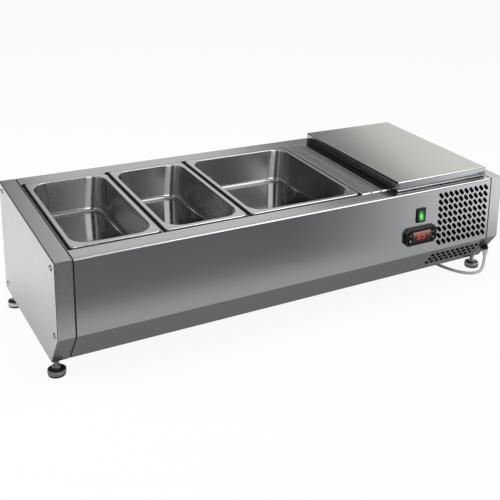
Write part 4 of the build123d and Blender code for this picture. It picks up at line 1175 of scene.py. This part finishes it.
# cloth that only reflections see, with a tone at each corner point
def hangCloth(name, verts, faces, tones):
    cloth = addPiece(name, verts, faces, studioCloth)
    shade = cloth.data.attributes.new("tone", "FLOAT", "POINT")
    shade.data.foreach_set("value", tones)
    cloth.visible_camera = False
    cloth.visible_diffuse = False
    cloth.visible_shadow = False


def ease(value, low, high, soft):
    return smooth(min((value - low) / soft, (high - value) / soft) + 0.5)


def tentTone(heading, rise):
    tone = studio["cloth"]
    for part in studio["parts"].values():
        low, high = part["heading"]
        swung = heading - part.get("lean", 0) * (rise - studio["leanRise"])
        weight = ease(swung, low, high, part["soft"]) * ease(rise, *part["rise"], part["soft"])
        first, last = part["tone"]
        tone += (first + (last - first) * clip((swung - low) / (high - low)) - tone) * weight
    return tone


def makeTent():
    radius, rows, columns = studio["tentRadius"], studio["tentRows"], studio["tentColumns"]
    verts, faces, tones = [], [], []
    for row in range(rows + 1):
        rise = studio["tentTop"] * row / rows
        level = math.radians(rise)
        for column in range(columns):
            heading = 360 * column / columns - 180
            turn = math.radians(heading)
            verts.append((radius * math.cos(level) * math.sin(turn), radius * math.cos(level) * math.cos(turn),
                          radius * math.sin(level)))
            tones.append(tentTone(heading, rise))
    for row in range(rows):
        for column in range(columns):
            here = row * columns + column
            there = row * columns + (column + 1) % columns
            faces.append((here, there, there + columns, here + columns))
    hangCloth("studioTent", verts, faces, tones)


# cloth from rows of points, each with its tone
def hangRows(name, rows):
    verts = [point for row in rows for point, tone in row]
    tones = [tone for row in rows for point, tone in row]
    count = len(rows[0])
    faces = []
    for number in range(len(rows) - 1):
        for i in range(count - 1):
            here = number * count + i
            faces.append((here, here + 1, here + count + 1, here + count))
    hangCloth(name, verts, faces, tones)


# a standing card in front of the case, seen in its front
def makeFrontCard():
    card = studio["card"]
    left, right = card["x"]
    start, end = card["ramp"]
    line = []
    for column in range(card["columns"] + 1):
        x = left + (right - left) * column / card["columns"]
        line.append((x, card["dark"] + (card["light"] - card["dark"]) * smooth((x - start) / (end - start))))
    hangRows("frontCard", [[((x, card["y"], z), tone) for x, tone in line] for z in (0.0, card["top"])])


def makeMats():
    for name, mat in studio["mats"].items():
        hangRows(name, [[((x, y, mat["z"]), mat["tone"]) for x in mat["x"]] for y in mat["y"]])


def addLamp(name, stand, aim, size, power):
    data = bpy.data.lights.new(name, "AREA")
    data.shape = "RECTANGLE"
    data.size, data.size_y = size
    data.energy = power
    lamp = addObject(name, data)
    way = (Vector(aim) - Vector(stand)).normalized()
    lamp.matrix_world = Matrix.Translation(stand) @ way.to_track_quat("-Z", "Y").to_matrix().to_4x4()
    lamp.visible_glossy = False


def makeWorld():
    world = bpy.data.worlds.new("studio")
    bpy.context.scene.world = world
    g = bareTree(world)
    eye, mirrored = raySeen(g)
    dim = g.node("ShaderNodeBackground", {}, {"Color": (1, 1, 1, 1), "Strength": studio["world"]})
    white = g.node("ShaderNodeBackground", {}, {"Color": (1, 1, 1, 1), "Strength": 1.0})
    mixed = g.node("ShaderNodeMixShader", {}, {0: eye.highest(mirrored), 1: dim, 2: white})
    showSurface(g, "ShaderNodeOutputWorld", mixed)


makeFloor()
makeWorld()
makeTent()
makeFrontCard()
makeMats()
addLamp("keyLamp", stand=(-2.0, 0.5, 2.0), aim=(-0.1, 0, 0.15), size=(1.6, 1.2), power=36)
addLamp("topLamp", stand=(0.3, -0.4, 2.4), aim=(0.1, 0, 0.15), size=(1.4, 1.0), power=26)
bpy.context.scene.view_settings.view_transform = "Standard"
print("studio lit")

bpy.context.view_layer.update()
